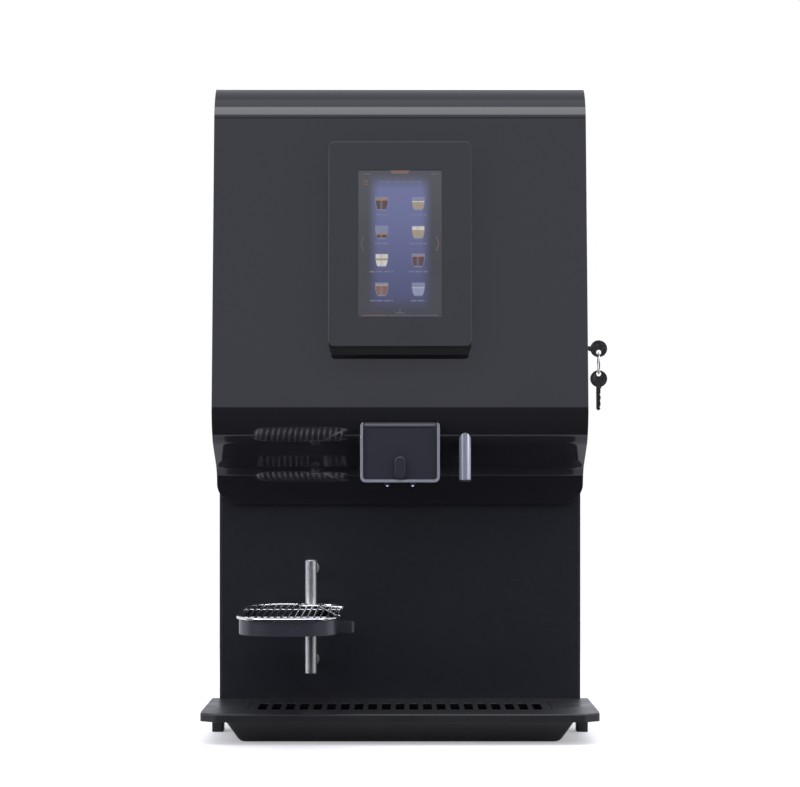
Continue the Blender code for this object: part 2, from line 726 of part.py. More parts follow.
def auger(name, centre):
    """Coiled wire conveyor on a drive hub that passes out through the canister's rear wall."""
    ax = centre + AUGER_X
    y0, y1 = 0.004, HOPPER_FRONT + HOPPER_DEPTH - HOPPER_WALL - 0.004
    steps = AUGER_TURNS * 8
    route = []
    for i in range(steps + 1):
        a = 2 * math.pi * i / 8
        route.append((ax + AUGER_COIL * math.cos(a), y0 + (y1 - 0.004 - y0) * i / steps,
                      AUGER_Z + AUGER_COIL * math.sin(a)))
    wire = tube(name, route, AUGER_WIRE, 1)
    hub = rod("hub", AUGER_COIL + AUGER_WIRE, (ax, y1 - 0.006, AUGER_Z), (ax, y1, AUGER_Z), SMALL)
    shaft = rod("shaft", DRIVE_SHAFT, (ax, y1 - 0.001, AUGER_Z), (ax, y1 + 0.016, AUGER_Z), SMALL)
    return finish(join(wire, hub, shaft), "steel_sheet", (0.42, 0.42, 0.43), 0.35, 1.0)


def elbow(name, centre):
    """Hooded spout that turns about the auger's axis, open at the tip and round the outlet."""
    cx, cz = centre + AUGER_X, AUGER_Z + 0.0045
    tip_left, tip_right = cx + 0.0260, cx + 0.0445
    hood = arc((cx, cz), ELBOW_HOOD, 225, 30, 10)
    skin = hood + [(tip_right, AUGER_Z - 0.016), (tip_right, ELBOW_TIP), (tip_left, ELBOW_TIP)]
    shell = outline(name, skin, ELBOW_REAR - ELBOW_FRONT, front_view((ELBOW_REAR + ELBOW_FRONT) / 2))
    low = ELBOW_TIP - 0.01
    inside = offset_outline(skin, -ELBOW_WALL)
    inside = [(x, low if z < ELBOW_TIP + 0.004 else z) for x, z in inside]
    room = outline("room", inside, ELBOW_REAR - ELBOW_FRONT - 2 * ELBOW_WALL,
                   front_view((ELBOW_REAR + ELBOW_FRONT) / 2))
    hole = rod("hole", OUTLET_BORE + OUTLET_WALL + CLEAR, (cx, ELBOW_REAR - 0.006, AUGER_Z),
               (cx, ELBOW_REAR + 0.006, AUGER_Z))
    return milky(cut(shell, room, hole))


def auger_drive():
    """Two gear motors on one bracket behind the inner wall, with drive sockets."""
    y = INNER_WALL_Y + CLEAR
    bracket = block("auger_drive", (-0.170, y, AUGER_Z - 0.022), (0.080, y + 0.003, AUGER_Z + 0.022))
    for side in (-1, 1):
        x = side * HOPPER_X + AUGER_X
        bracket = join(
            bracket,
            block("gearbox", (x - 0.022, y + 0.002, AUGER_Z - 0.020),
                  (x + 0.030, y + 0.026, AUGER_Z + 0.020)),
            rod("motor", 0.016, (x + 0.008, y + 0.025, AUGER_Z), (x + 0.008, y + 0.060, AUGER_Z), SMALL),
            rod("socket", DRIVE_SHAFT + 0.003, (x, y + 0.001, AUGER_Z), (x, y - 0.015, AUGER_Z), SMALL))
        start = HOPPER_FRONT + HOPPER_DEPTH
        bracket = cut(bracket, rod("bore", DRIVE_SHAFT + CLEAR, (x, start - 0.01, AUGER_Z),
                                   (x, y - 0.002, AUGER_Z), SMALL))
    return finish(bracket, "motor", (0.10, 0.10, 0.11), 0.4, 0.6)


# ---------------------------------------------------------------- mixers
def mixer(name, side):
    """Mixing bowl, neck and whipping chamber, open on top, at the rear and at the outlet barb."""
    x, y = side * HOPPER_X, MIXER_Y
    w = MIXER_WALL
    place = Matrix.Translation((x, y, 0))
    outer = [(0, BOWL_TOP), (BOWL_RADIUS, BOWL_TOP), (BOWL_RADIUS, BOWL_SHOULDER),
             (BOWL_RADIUS * 0.86, BOWL_SHOULDER - 0.010), (NECK_RADIUS, BOWL_NECK_Z),
             (NECK_RADIUS, CHAMBER_Z), (0, CHAMBER_Z)]
    inner = [(0, BOWL_TOP + 0.01), (BOWL_RADIUS - w, BOWL_TOP + 0.01), (BOWL_RADIUS - w, BOWL_SHOULDER + 0.001),
             (BOWL_RADIUS * 0.86 - w, BOWL_SHOULDER - 0.008), (NECK_RADIUS - w, BOWL_NECK_Z + 0.001),
             (NECK_RADIUS - w, CHAMBER_Z + 0.002), (0, CHAMBER_Z + 0.002)]
    rear = MIXING_PLATE_Y - FLANGE_THICK - 2 * CLEAR
    body = turned(name, outer, place)
    chamber = rod("chamber", CHAMBER_RADIUS, (x, CHAMBER_FRONT, CHAMBER_Z), (x, rear, CHAMBER_Z))
    boss = rod("boss", OUTLET_RADIUS, (x, CHAMBER_FRONT - 0.008, OUTLET_Z), (x, CHAMBER_FRONT + 0.012, OUTLET_Z), SMALL)
    drop = rod("drop", OUTLET_RADIUS * 0.85, (x, CHAMBER_FRONT + 0.007, OUTLET_Z - 0.004),
               (x, CHAMBER_FRONT + 0.007, CHAMBER_Z), SMALL)
    out_y = CHAMBER_FRONT
    barb = rod("barb", BARB_RADIUS, (x, out_y, OUTLET_Z), (x - side * BARB_REACH, out_y, OUTLET_Z), SMALL)
    body = join(body, chamber, drop, boss, barb)
    hollow = rod("hollow", CHAMBER_RADIUS - w, (x, CHAMBER_FRONT + w, CHAMBER_Z), (x, rear + 0.01, CHAMBER_Z))
    drain = rod("drain", 0.0035, (x, CHAMBER_FRONT + 0.005, CHAMBER_Z - 0.010),
                (x, CHAMBER_FRONT + 0.002, OUTLET_Z), SMALL)
    bore = rod("bore", 0.0035, (x + side * 0.001, out_y, OUTLET_Z),
               (x - side * (BARB_REACH + 0.01), out_y, OUTLET_Z), SMALL)
    return matte_black(cut(body, turned("inner", inner, place), hollow, drain, bore))


def whipper_motor(name, side):
    """Mounting flange with its thumb tab in front of the plate, motor behind it."""
    x, y = side * HOPPER_X, MIXING_PLATE_Y
    flange = rod(name, FLANGE_RADIUS, (x, y - FLANGE_THICK - CLEAR, CHAMBER_Z), (x, y - CLEAR, CHAMBER_Z))
    tab = rod("tab", TAB_RADIUS, (x, y - FLANGE_THICK * 0.8, TAB_Z + 0.001), (x, y - CLEAR, TAB_Z + 0.001))
    sleeve = rod("sleeve", SLEEVE_RADIUS, (x, y - 0.002, CHAMBER_Z), (x, y + SHEET + 0.002, CHAMBER_Z))
    start = y + SHEET + CLEAR
    can = rod("can", MOTOR_RADIUS, (x, start, CHAMBER_Z), (x, start + MOTOR_LENGTH, CHAMBER_Z))
    bore = rod("bore", SHAFT_BORE, (x, y - 0.02, CHAMBER_Z), (x, y + 0.014, CHAMBER_Z), SMALL)
    return matte_black(cut(join(flange, tab, sleeve, can), bore))


def whipper(name, side):
    """Whipping rotor on its shaft, with four slots through the disc's edge."""
    x = side * HOPPER_X
    shaft = rod(name, WHIPPER_SHAFT, (x, -0.028, CHAMBER_Z), (x, MIXING_PLATE_Y + 0.012, CHAMBER_Z), SMALL)
    disc = rod("disc", WHIPPER_RADIUS, (x, -0.026, CHAMBER_Z), (x, -0.020, CHAMBER_Z))
    for i in range(4):
        a = math.pi / 2 * i + math.pi / 4
        middle = Vector((x + 0.0105 * math.cos(a), 0, CHAMBER_Z + 0.0105 * math.sin(a)))
        disc = cut(disc, rod("slot", 0.0022, middle + Vector((0, -0.03, 0)),
                             middle + Vector((0, -0.015, 0)), 8))
    return finish(join(shaft, disc), "white_plastic", (0.8, 0.8, 0.78), 0.4)


def manifold():
    """Outlet block with four windows and three upstands that take the hoses."""
    body = block("manifold", (-MANIFOLD_HALF, MANIFOLD_Y[0], MANIFOLD_Z[0]),
                   (MANIFOLD_HALF, MANIFOLD_Y[1], MANIFOLD_Z[1]))
    y = -0.002
    for side in (-1, 0, 1):
        x = side * UPSTAND_X
        body = join(body, rod("upstand", UPSTAND_RADIUS, (x, y, MANIFOLD_Z[1] - 0.002),
                                  (x, y, UPSTAND_TOP), SMALL))
        if side:
            body = join(body, rod("barb", BARB_RADIUS - 0.0008, (x - side * 0.001, y, UPSTAND_TOP - 0.004),
                                      (x + side * 0.006, y, UPSTAND_TOP - 0.004), SMALL))
    pitch = 2 * MANIFOLD_HALF / 4
    for i in range(4):
        x = -MANIFOLD_HALF + pitch * (i + 0.5)
        shape = rounded_rectangle((x - 0.0062, 0.3050), (x + 0.0062, 0.3145), 0.0040, 3)
        body = cut(body, outline("window", shape, 0.020, front_view(MANIFOLD_Y[0])))
    return matte_black(body)


def hoses():
    """Short hoses from the mixers' outlet barbs to the manifold."""
    made = []
    y = -0.002
    for name, side in (("hose_left", -1), ("hose_right", 1)):
        start = (side * (HOPPER_X - BARB_REACH - CLEAR), CHAMBER_FRONT, OUTLET_Z)
        end = (side * (UPSTAND_X + 0.006 + CLEAR), y, UPSTAND_TOP - 0.004)
        route = [start, (side * 0.064, CHAMBER_FRONT, OUTLET_Z),
                 (side * 0.046, (CHAMBER_FRONT + y) / 2, OUTLET_Z - 0.006),
                 (side * 0.030, y, UPSTAND_TOP - 0.004), end]
        made.append(hose_clear(tube(name, route, HOSE_RADIUS - 0.0005)))
    return made


def door_hose():
    """Water hose from the left grommet, past the hinge and along the door to the spout."""
    inside = SPOUT_TOP + 0.012
    route = [(GROMMET_X, MIXING_PLATE_Y + 0.012, GROMMET_Z), (GROMMET_X, 0.030, GROMMET_Z),
             (GROMMET_X - 0.004, 0.008, GROMMET_Z + 0.003), (GROMMET_X - 0.012, -0.018, GROMMET_Z + 0.006),
             (GROMMET_X - 0.010, -0.045, GROMMET_Z + 0.004), (GROMMET_X + 0.012, -0.066, GROMMET_Z),
             (GROMMET_X + 0.050, -0.078, GROMMET_Z - 0.008), (-0.060, -0.080, GROMMET_Z - 0.014),
             (0.000, -0.080, GROMMET_Z - 0.017), (0.050, -0.080, GROMMET_Z - 0.018),
             (0.070, -0.080, GROMMET_Z - 0.022), (SPOUT_X, -0.0800, inside + 0.004)]
    return hose_clear(tube("door_hose", route, DOOR_HOSE_RADIUS))


def power_rocker():
    """Illuminated rocker that tips about a bar across its middle, in the plate's window."""
    wide, tall = ROCKER_SIZE
    x, y, z = ROCKER_X, MIXING_PLATE_Y, ROCKER_Z
    side = [(y - 0.0045, z - tall / 2), (y - 0.0010, z), (y - 0.0045 + 0.0020, z + tall / 2),
            (y + 0.0050, z + tall / 2 - 0.003), (y + ROCKER_THICK, z), (y + 0.0050, z - tall / 2 + 0.003)]
    rocker = outline("power_rocker", [(-a, b) for a, b in side], wide, side_view(x))
    return finish(rocker, "rocker_green", (0.05, 0.40, 0.15), 0.3)


# ---------------------------------------------------------------- door
def slope_depth(z):
    """Depth of the sloping front, from the door's back plane, at height z."""
    return DOOR_SLOPE_DEPTH + (DOOR_SLOPE_Z - z) * DOOR_SLOPE


def door_profile(steps=5):
    """Side outline of the door's skin as (depth, height), from the back of its top to its lip."""
    corners = [(0, DOOR_TOP), (slope_depth(DOOR_TOP), DOOR_TOP), (slope_depth(BULGE_Z), BULGE_Z),
               (LIP_DEPTH, LIP_Z), (LIP_EDGE_DEPTH, DOOR_BOTTOM)]
    line = filleted(corners, (TOP_ROLL, BULGE_ROLL, LIP_ROLL), steps)
    start = line.pop()
    rows = 5
    first = line[-1]
    for i in range(1, rows + 1):
        t = i / rows
        line.append((first[0] + (start[0] - first[0]) * t, first[1] + (start[1] - first[1]) * t))
    return line


def lip_half_width(z):
    """Half width of the skin at height z: its lower corners are round."""
    rise = z - DOOR_BOTTOM
    if rise >= LIP_CORNER:
        return DOOR_HALF
    return DOOR_HALF - LIP_CORNER + math.sqrt(LIP_CORNER ** 2 - (LIP_CORNER - rise) ** 2)


def door_cover():
    """One bent gloss sheet: top roll, sloping front, bulge, underside and lip."""
    line = door_profile()
    rows = [(lip_half_width(z), -DOOR_BACK - t, z) for t, z in line]
    mesh = bpy.data.meshes.new("door_cover")
    points = [(s * half, y, z) for half, y, z in rows for s in (-1, 1)]
    faces = [(2 * i + 1, 2 * i, 2 * i + 2, 2 * i + 3) for i in range(len(rows) - 1)]
    mesh.from_pydata(points, [], faces)
    item = bpy.data.objects.new("door_cover", mesh)
    bpy.context.scene.collection.objects.link(item)
    wall = item.modifiers.new("wall", "SOLIDIFY")
    wall.thickness, wall.use_even_offset, wall.offset = COVER_SHEET, True, -1
    cover = to_mesh(item)
    hole = rod("hole", 0.0060, (SPOUT_X, -0.080, 0.33), (SPOUT_X, -0.080, 0.38), SMALL)
    chute = block("chute", (-0.030, -0.045, 0.3165), (0.030, -0.012, 0.3400))
    return gloss_black(cut(cover, hole, chute))


def cap_outline():
    """Outline of an end cap: inside the skin, closed by the back plane."""
    line = door_profile()
    ring = line + [(-0.02, DOOR_BOTTOM), (-0.02, DOOR_TOP)]
    inner = offset_outline(ring, -(COVER_SHEET + CLEAR))
    kept = [(max(t, 0), z) for t, z in inner[:len(line)] if z > 0.307]
    return [(0, inner[0][1])] + [p for p in kept if p[0] > 0] + [(0, kept[-1][1])]


def end_cap(name, side):
    """Matte plate that closes the door's end, with a flange along its back edge."""
    x = side * (DOOR_HALF - CAP_INSET - CAP_SHEET / 2)
    place = side_view(x) @ Matrix.Translation((DOOR_BACK, 0, 0))
    plate = outline(name, cap_outline(), CAP_SHEET, place)
    inner, outer = side * (DOOR_HALF - CAP_INSET - CAP_FLANGE), x
    low_x, high_x = sorted((inner, outer))
    flange = block("flange", (low_x, -DOOR_BACK - CAP_SHEET, 0.312),
                   (high_x, -DOOR_BACK, DOOR_TOP - COVER_SHEET - 2 * CLEAR))
    plate = join(plate, flange)
    if side > 0:
        tall = STRIKE_SLOT[1]
        plate = cut(plate, block("cam_way", (CAM_X - 0.0045, -DOOR_BACK - 0.01, STRIKE_Z - tall / 2 - 0.004),
                                 (CAM_X + 0.0045, 0, STRIKE_Z + tall / 2 + 0.004)))
        plate = cut(plate, rod("hole", LOCK_RADIUS + CLEAR, (x - 0.01, -LOCK_OUT, LOCK_Z),
                               (x + 0.01, -LOCK_OUT, LOCK_Z)))
    return matte_black(plate)


def on_slope(item):
    """Lay a piece built about the touch unit's centre onto the sloping front."""
    lean = Matrix.Rotation(-math.atan(DOOR_SLOPE), 4, "X")
    depth = DOOR_BACK + slope_depth(TOUCH_CENTRE_Z)
    item.data.transform(Matrix.Translation((0, -depth, TOUCH_CENTRE_Z)) @ lean)
    return item


def touch_housing():
    """Plate with a hooked lower edge on a narrower box, with a window for the screen."""
    half, tall = TOUCH_WIDTH / 2, TOUCH_HEIGHT / 2
    face = -TOUCH_PROUD
    front = outline("touch_housing", rounded_rectangle((-half, -tall), (half, tall), 0.006),
                    TOUCH_PLATE, front_view(face + TOUCH_PLATE / 2))
    box = block("box", (-half + TOUCH_BOX_MARGIN, face + TOUCH_PLATE / 2, -tall + TOUCH_BOX_MARGIN),
                (half - TOUCH_BOX_MARGIN, -CLEAR, tall - TOUCH_BOX_MARGIN))
    hook = block("hook", (-half + 0.006, face, -tall - TOUCH_HOOK * 0.6),
                 (half - 0.006, face + TOUCH_HOOK, -tall + 0.002))
    window = block("window", (-SCREEN_WIDTH / 2 - CLEAR, face - 0.01, -SCREEN_HEIGHT / 2 - CLEAR),
                   (SCREEN_WIDTH / 2 + CLEAR, face + SCREEN_RECESS + CLEAR, SCREEN_HEIGHT / 2 + CLEAR))
    return gloss_black(on_slope(cut(join(front, box, hook), window)))


def screen():
    face = -TOUCH_PROUD
    glass = block("screen", (-SCREEN_WIDTH / 2, face, -SCREEN_HEIGHT / 2),
                  (SCREEN_WIDTH / 2, face + SCREEN_RECESS, SCREEN_HEIGHT / 2))
    return finish(on_slope(glass), "screen_glass", (0.02, 0.02, 0.05), 0.1)


def door_solid(x):
    """Everything inside the door's skin, grown by the clearance, as a cutter centred on x."""
    ring = offset_outline(door_profile() + [(-0.02, DOOR_BOTTOM), (-0.02, DOOR_TOP)], CLEAR)
    return outline("door_solid", [(t + DOOR_BACK, z) for t, z in ring], 0.1, side_view(x))


def dispensing_head():
    """Outlet housing under the bulge, with a duct from the door's back to two nozzle wells."""
    front = HEAD_FRONT - HEAD_TRIM
    side = [(HEAD_REAR, HEAD_TOP), (HEAD_REAR, HEAD_BOTTOM), (front, HEAD_BOTTOM), (front, HEAD_TOP)]
    head = outline("dispensing_head", side, HEAD_WIDTH, side_view(0))
    head = cut(head, door_solid(0))
    duct = outline("duct", [(HEAD_REAR - 0.01, 0.3150), (0.085, 0.3150), (0.085, 0.3350),
                            (HEAD_REAR + 0.012, 0.3240), (HEAD_REAR - 0.01, 0.3240)],
                   HEAD_WIDTH - 0.036, side_view(0))
    head = cut(head, duct)
    for s in (-1, 1):
        x, y = s * NOZZLE_SPACING / 2, -0.072
        head = join(head, rod("nozzle", NOZZLE_RADIUS, (x, y, 0.3140), (x, y, HEAD_BOTTOM - 0.0045), SMALL))
        head = cut(head, rod("bore", NOZZLE_RADIUS - 0.0012, (x, y, 0.3250), (x, y, HEAD_BOTTOM - 0.01), SMALL))
    pill = rounded_rectangle((-0.007, HEAD_BOTTOM + HEAD_TRIM + CLEAR), (0.007, 0.3410), 0.0068)
    nub = outline("nub", pill, 0.008, front_view(-HEAD_FRONT + 0.001))
    return gloss_black(join(head, nub))


def head_trim():
    """Bright frame round the front edge of the dispensing head, open on top."""
    half, r = HEAD_WIDTH / 2, 0.006
    shape = rounded_rectangle((-half, HEAD_BOTTOM), (half, HEAD_TOP), r)
    y = -HEAD_FRONT + HEAD_TRIM / 2 - CLEAR / 2
    ring = outline("head_trim", shape, HEAD_TRIM - CLEAR, front_view(y))
    inside = rounded_rectangle((-half + HEAD_TRIM, HEAD_BOTTOM + HEAD_TRIM),
                               (half - HEAD_TRIM, HEAD_TOP + 0.02), r - HEAD_TRIM + 0.001)
    window = outline("window", inside, 0.02, front_view(y))
    return chrome(cut(ring, window))


def hot_water_spout():
    """Upright bright tube with a slanted top and a nozzle bore, in front of the underside."""
    x, y = SPOUT_X, -SPOUT_OUT
    stem_tube = rod("hot_water_spout", SPOUT_RADIUS, (x, y, SPOUT_BOTTOM), (x, y, SPOUT_TOP + 0.01))
    stem_tube = cut(stem_tube, door_solid(x))
    stem = rod("stem", 0.0045, (x, -0.0800, 0.3450), (x, -0.0800, SPOUT_TOP + 0.009), SMALL)
    return chrome(cut(join(stem_tube, stem), rod("bore", 0.003, (x, y, SPOUT_BOTTOM - 0.01), (x, y, 0.35), SMALL)))


def lock_barrel():
    """Cylinder lock through the right end cap, with a stepped collar and a keyway hole."""
    outer = DOOR_HALF - CAP_INSET
    y, z = -LOCK_OUT, LOCK_Z
    barrel = rod("lock_barrel", LOCK_RADIUS, (CAM_X + 0.0015 + 2 * CLEAR, y, z), (outer + 0.001, y, z))
    collar = rod("collar", LOCK_COLLAR_RADIUS, (outer + CLEAR, y, z), (outer + 0.0035, y, z))
    barrel = join(barrel, collar)
    return chrome(cut(barrel, rod("bore", 0.0055, (CAM_X, y, z), (outer + 0.01, y, z), SMALL)))


# ---------------------------------------------------------------- lock cam and keys
def lock_cam():
    """Cam plate on the lock's core. Upright it clears the slot, flat it sits in the slot."""
    y, z = -LOCK_OUT, LOCK_Z
    plate = block("lock_cam", (CAM_X - 0.0015, y - CAM_WIDTH / 2, z),
                  (CAM_X + 0.0015, y + CAM_WIDTH / 2, z + CAM_LENGTH))
    boss = rod("boss", 0.008, (CAM_X - 0.0015, y, z), (CAM_X + 0.0015, y, z))
    core = rod("core", 0.0050, (CAM_X - 0.003, y, z), (DOOR_HALF - CAP_INSET + 0.003, y, z), SMALL)
    slit = block("slit", (CAM_X + 0.008, y - KEY_THICK / 2 - CLEAR, z - 0.0040),
                 (DOOR_HALF + 0.01, y + KEY_THICK / 2 + CLEAR, z + 0.0040))
    return chrome(cut(join(plate, boss, core), slit))


KEY_BOW_X = DOOR_HALF + 0.0185
RING_HOLE_Z = LOCK_Z - 0.0045


def key_blank(name, shank_length, hole_offset):
    """A key in its own frame: bow centred on the origin, shank along -X, in the XZ plane."""
    bow = arc((0, 0), KEY_BOW_RADIUS, 0, 360, 20)[:-1]
    key = outline(name, bow, KEY_THICK, front_view(0))
    thin = KEY_THICK * 0.4
    shank = block("shank", (-shank_length, -thin, -0.0032), (-0.008, thin, 0.0032))
    key = join(key, shank)
    x, z = hole_offset
    return cut(key, rod("hole", KEY_HOLE_RADIUS, (x, -0.01, z), (x, 0.01, z), SMALL))


def key():
    blank = key_blank("key", KEY_BOW_X - CAM_X - 0.010, (0.0, RING_HOLE_Z - LOCK_Z))
    blank.data.transform(Matrix.Translation((KEY_BOW_X, -LOCK_OUT, LOCK_Z)))
    return chrome(blank)


def key_ring():
    """Ring through the key's hole, hanging in the plane square to the key's axis."""
    bpy.ops.mesh.primitive_torus_add(
        major_radius=KEY_RING_RADIUS, minor_radius=KEY_RING_WIRE, major_segments=24, minor_segments=6,
        location=(KEY_BOW_X, -LOCK_OUT, RING_HOLE_Z - KEY_RING_RADIUS), rotation=(0, math.pi / 2, 0))
    bpy.context.view_layer.update()
    return chrome(active_mesh("key_ring"))


def spare_key():
    """Second key, hanging from the bottom of the ring by its hole, blade down."""
    hole = 0.0060
    blank = key_blank("spare_key", SPARE_KEY_LENGTH - KEY_BOW_RADIUS, (hole, 0))
    place = (Matrix.Translation((KEY_BOW_X, -LOCK_OUT, RING_HOLE_Z - 2 * KEY_RING_RADIUS - hole))
             @ Matrix.Rotation(-math.pi / 2, 4, "Y"))
    blank.data.transform(place)
    return chrome(blank)


# ---------------------------------------------------------------- cup platform
def platform_outline(grow):
    """Plan outline of the platform, pointing at the viewer from the rod."""
    x, y = ROD_X - PLATFORM_OFFSET, -ROD_OUT + HUB_RADIUS
    half = PLATFORM_WIDTH / 2
    shape = rounded_rectangle((x - half, y - PLATFORM_LENGTH), (x + half, y), PLATFORM_CORNER, 6)
    return offset_outline(shape, grow)


def platform_clamp():
    """Split ring that grips the rod and carries the platform."""
    x, y = ROD_X, -ROD_OUT
    top = PLATFORM_BOTTOM - CLEAR
    clamp = rod("platform_clamp", CLAMP_RADIUS, (x, y, CLAMP_BOTTOM), (x, y, top))
    slit = block("slit", (x - 0.0005, y, CLAMP_BOTTOM - 0.01), (x + 0.0005, y + 0.02, top + 0.01))
    return matte_black(cut(clamp, rod("bore", ROD_RADIUS + CLEAR, (x, y, 0.1), (x, y, 0.2)), slit))


def cup_platform():
    """Shallow black dish with a hub that turns on the rod, a release tab and a side catch."""
    x, y = ROD_X, -ROD_OUT
    middle = (PLATFORM_BOTTOM + PLATFORM_TOP) / 2
    dish = outline("cup_platform", platform_outline(-GRID_OVERHANG), PLATFORM_TOP - PLATFORM_BOTTOM,
                   plan_view(middle))
    room = outline("room", platform_outline(-GRID_OVERHANG - PLATFORM_WALL), 0.04,
                   plan_view(PLATFORM_BOTTOM + PLATFORM_FLOOR + 0.02))
    dish = cut(dish, room)
    hub = rod("hub", HUB_RADIUS, (x, y, PLATFORM_BOTTOM), (x, y, GRID_TOP - 0.001))
    tab = block("tab", (x - 0.007, y, GRID_TOP - 0.0035), (x + 0.007, y + TAB_REACH, GRID_TOP - 0.0015))
    start, end = x + CATCH_START, x + CATCH_REACH
    shape = [(start, y - 0.030), (end - 0.003, y - 0.030), (end, y - 0.026), (end, y - 0.018),
             (end - 0.003, y - 0.014), (start, y - 0.014)]
    catch = outline("catch", shape, CATCH_Z[1] - CATCH_Z[0], plan_view(sum(CATCH_Z) / 2))
    dish = join(dish, hub, tab, catch)
    return matte_black(cut(dish, rod("bore", ROD_RADIUS + CLEAR, (x, y, 0.1), (x, y, 0.2))))


def cup_grid():
    """Slotted stainless insert that lies on the dish and lifts off round the hub."""
    grid = outline("cup_grid", platform_outline(0), GRID_TOP - PLATFORM_TOP - CLEAR,
                   plan_view((GRID_TOP + PLATFORM_TOP + CLEAR) / 2))
    room = outline("room", platform_outline(-0.004), 0.01, plan_view(PLATFORM_TOP - 0.0025))
    grid = cut(grid, room)
    x, y = ROD_X, -ROD_OUT
    gap = HUB_RADIUS + CLEAR
    grid = cut(grid, block("notch", (x - gap, y - gap, 0.15), (x + gap, y + 0.05, 0.17)))
    middle, half = ROD_X - PLATFORM_OFFSET, PLATFORM_WIDTH / 2
    pitch = (PLATFORM_WIDTH - 0.016) / GRID_SLOTS
    for i in range(GRID_SLOTS):
        across = pitch * (i + 0.5 - GRID_SLOTS / 2)
        into_corner = max(0, abs(across) + pitch * 0.3 - (half - PLATFORM_CORNER))
        front = (y + HUB_RADIUS - PLATFORM_LENGTH + 0.008 + PLATFORM_CORNER
                 - math.sqrt(PLATFORM_CORNER ** 2 - into_corner ** 2))
        grid = cut(grid, block("slot", (middle + across - pitch * 0.3, front, 0.15),
                               (middle + across + pitch * 0.3, y - HUB_RADIUS - 0.012, 0.17)))
    return chrome(grid)


# ---------------------------------------------------------------- drip tray
def drip_tray():
    """Tray with a chamfered rim, a deep bowl, two rear feet and a tongue under the cabinet."""
    chamfer_x, chamfer_y = TRAY_CHAMFER
    front, rear = TRAY_WIDTH_FRONT / 2, TRAY_WIDTH_REAR / 2
    rim = [(-rear, -TRAY_REAR), (-front, -TRAY_FRONT + chamfer_y), (-front + chamfer_x, -TRAY_FRONT),
           (front - chamfer_x, -TRAY_FRONT), (front, -TRAY_FRONT + chamfer_y), (rear, -TRAY_REAR)]
    tray = outline("drip_tray", rim, TRAY_RIM, plan_view(TRAY_TOP - TRAY_RIM / 2))
    tray = join(tray, bowl_solid("bowl", 0.0, 0.0, TRAY_TOP - TRAY_RIM / 2))
    half = GRILLE_WIDTH / 2
    ledge = TRAY_TOP - GRILLE_SHEET - CLEAR
    window = block("window", (-half + GRILLE_LEDGE, -GRILLE_OUT[1] + GRILLE_LEDGE, TRAY_TOP - 0.012),
                   (half - GRILLE_LEDGE, -GRILLE_OUT[0] - GRILLE_LEDGE, TRAY_TOP + 0.01))
    seat = block("seat", (-half - CLEAR, -GRILLE_OUT[1] - CLEAR, ledge),
                 (half + CLEAR, -GRILLE_OUT[0] + CLEAR, TRAY_TOP + 0.01))
    tray = cut(tray, window, seat, bowl_solid("room", TRAY_WALL, TRAY_WALL, TRAY_TOP - 0.006))
    for side in (-1, 1):
        low_x, high_x = sorted((side * 0.218, side * 0.232))
        tray = join(tray, block("foot", (low_x, -0.034, 0), (high_x, -0.010, TRAY_TOP - TRAY_RIM + 0.002)))
    wide, reach, thick = TONGUE
    tray = join(tray, block("tongue", (-wide, -BOWL_REAR - 0.002, 0), (wide, reach, thick)))
    return matte_black(tray)


def bowl_solid(name, wall, floor, top):
    """Tapered bowl volume, shrunk by the wall for the inside."""
    bpy.ops.mesh.primitive_cube_add(size=2)
    bowl = active_mesh(name)
    for vertex in bowl.data.vertices:
        upper = vertex.co.z > 0
        half = (BOWL_TOP_HALF if upper else BOWL_BOTTOM_HALF) - wall
        front = BOWL_FRONT[0 if upper else 1] - wall
        vertex.co = (math.copysign(half, vertex.co.x),
                     -front if vertex.co.y < 0 else -BOWL_REAR - wall, top if upper else floor)
    return bowl


def drip_grille():
    """Flat slotted plate that drops into the tray's seat."""
    half = GRILLE_WIDTH / 2
    y0, y1 = -GRILLE_OUT[1], -GRILLE_OUT[0]
    grille = block("drip_grille", (-half, y0, TRAY_TOP - GRILLE_SHEET), (half, y1, TRAY_TOP))
    pitch = (GRILLE_WIDTH - 0.016) / GRILLE_BARS
    for i in range(GRILLE_BARS):
        x = -half + 0.008 + pitch * (i + 0.5)
        grille = cut(grille, block("slot", (x - pitch * 0.32, y0 + 0.010, 0), (x + pitch * 0.32, y1 - 0.010, 0.1)))
    return black_sheet(grille)


def build():
    for item in list(bpy.data.objects):
        bpy.data.objects.remove(item)
    bpy.context.scene.collection.children.link(parts)
    side_panel("side_panel_left", -1)
    side_panel("side_panel_right", 1)
    for make in (top_cover, base_plate, feet, back_panel, power_inlet, water_inlet, front_panel,
                 inner_wall, hopper_shelf, mixing_plate, lower_rail, cup_rod, boiler,
                 auger_drive, manifold, hoses, door_hose, power_rocker, door_cover, touch_housing,
                 screen, dispensing_head, head_trim, hot_water_spout, lock_barrel, lock_cam, key,
                 key_ring, spare_key, platform_clamp, cup_platform, cup_grid, drip_tray, drip_grille):
        make()
    hinge_plate("hinge_plate_upper", *UPPER_HINGE)
    hinge_plate("hinge_plate_lower", *LOWER_HINGE)
    door_hinge("door_hinge_upper", *UPPER_HINGE)
    door_hinge("door_hinge_lower", *LOWER_HINGE)
    for side, end in ((-1, "left"), (1, "right")):
        end_cap(f"door_cap_{end}", side)
        hopper(f"hopper_{end}", side * HOPPER_X)
        hopper_lid(f"hopper_lid_{end}", side * HOPPER_X)
        auger(f"auger_{end}", side * HOPPER_X)
        elbow(f"elbow_{end}", side * HOPPER_X)
        mixer(f"mixer_{end}", side)
        whipper_motor(f"whipper_motor_{end}", side)
        whipper(f"whipper_{end}", side)


build()
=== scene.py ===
import math

import bmesh
import bpy
from mathutils import Matrix, Vector


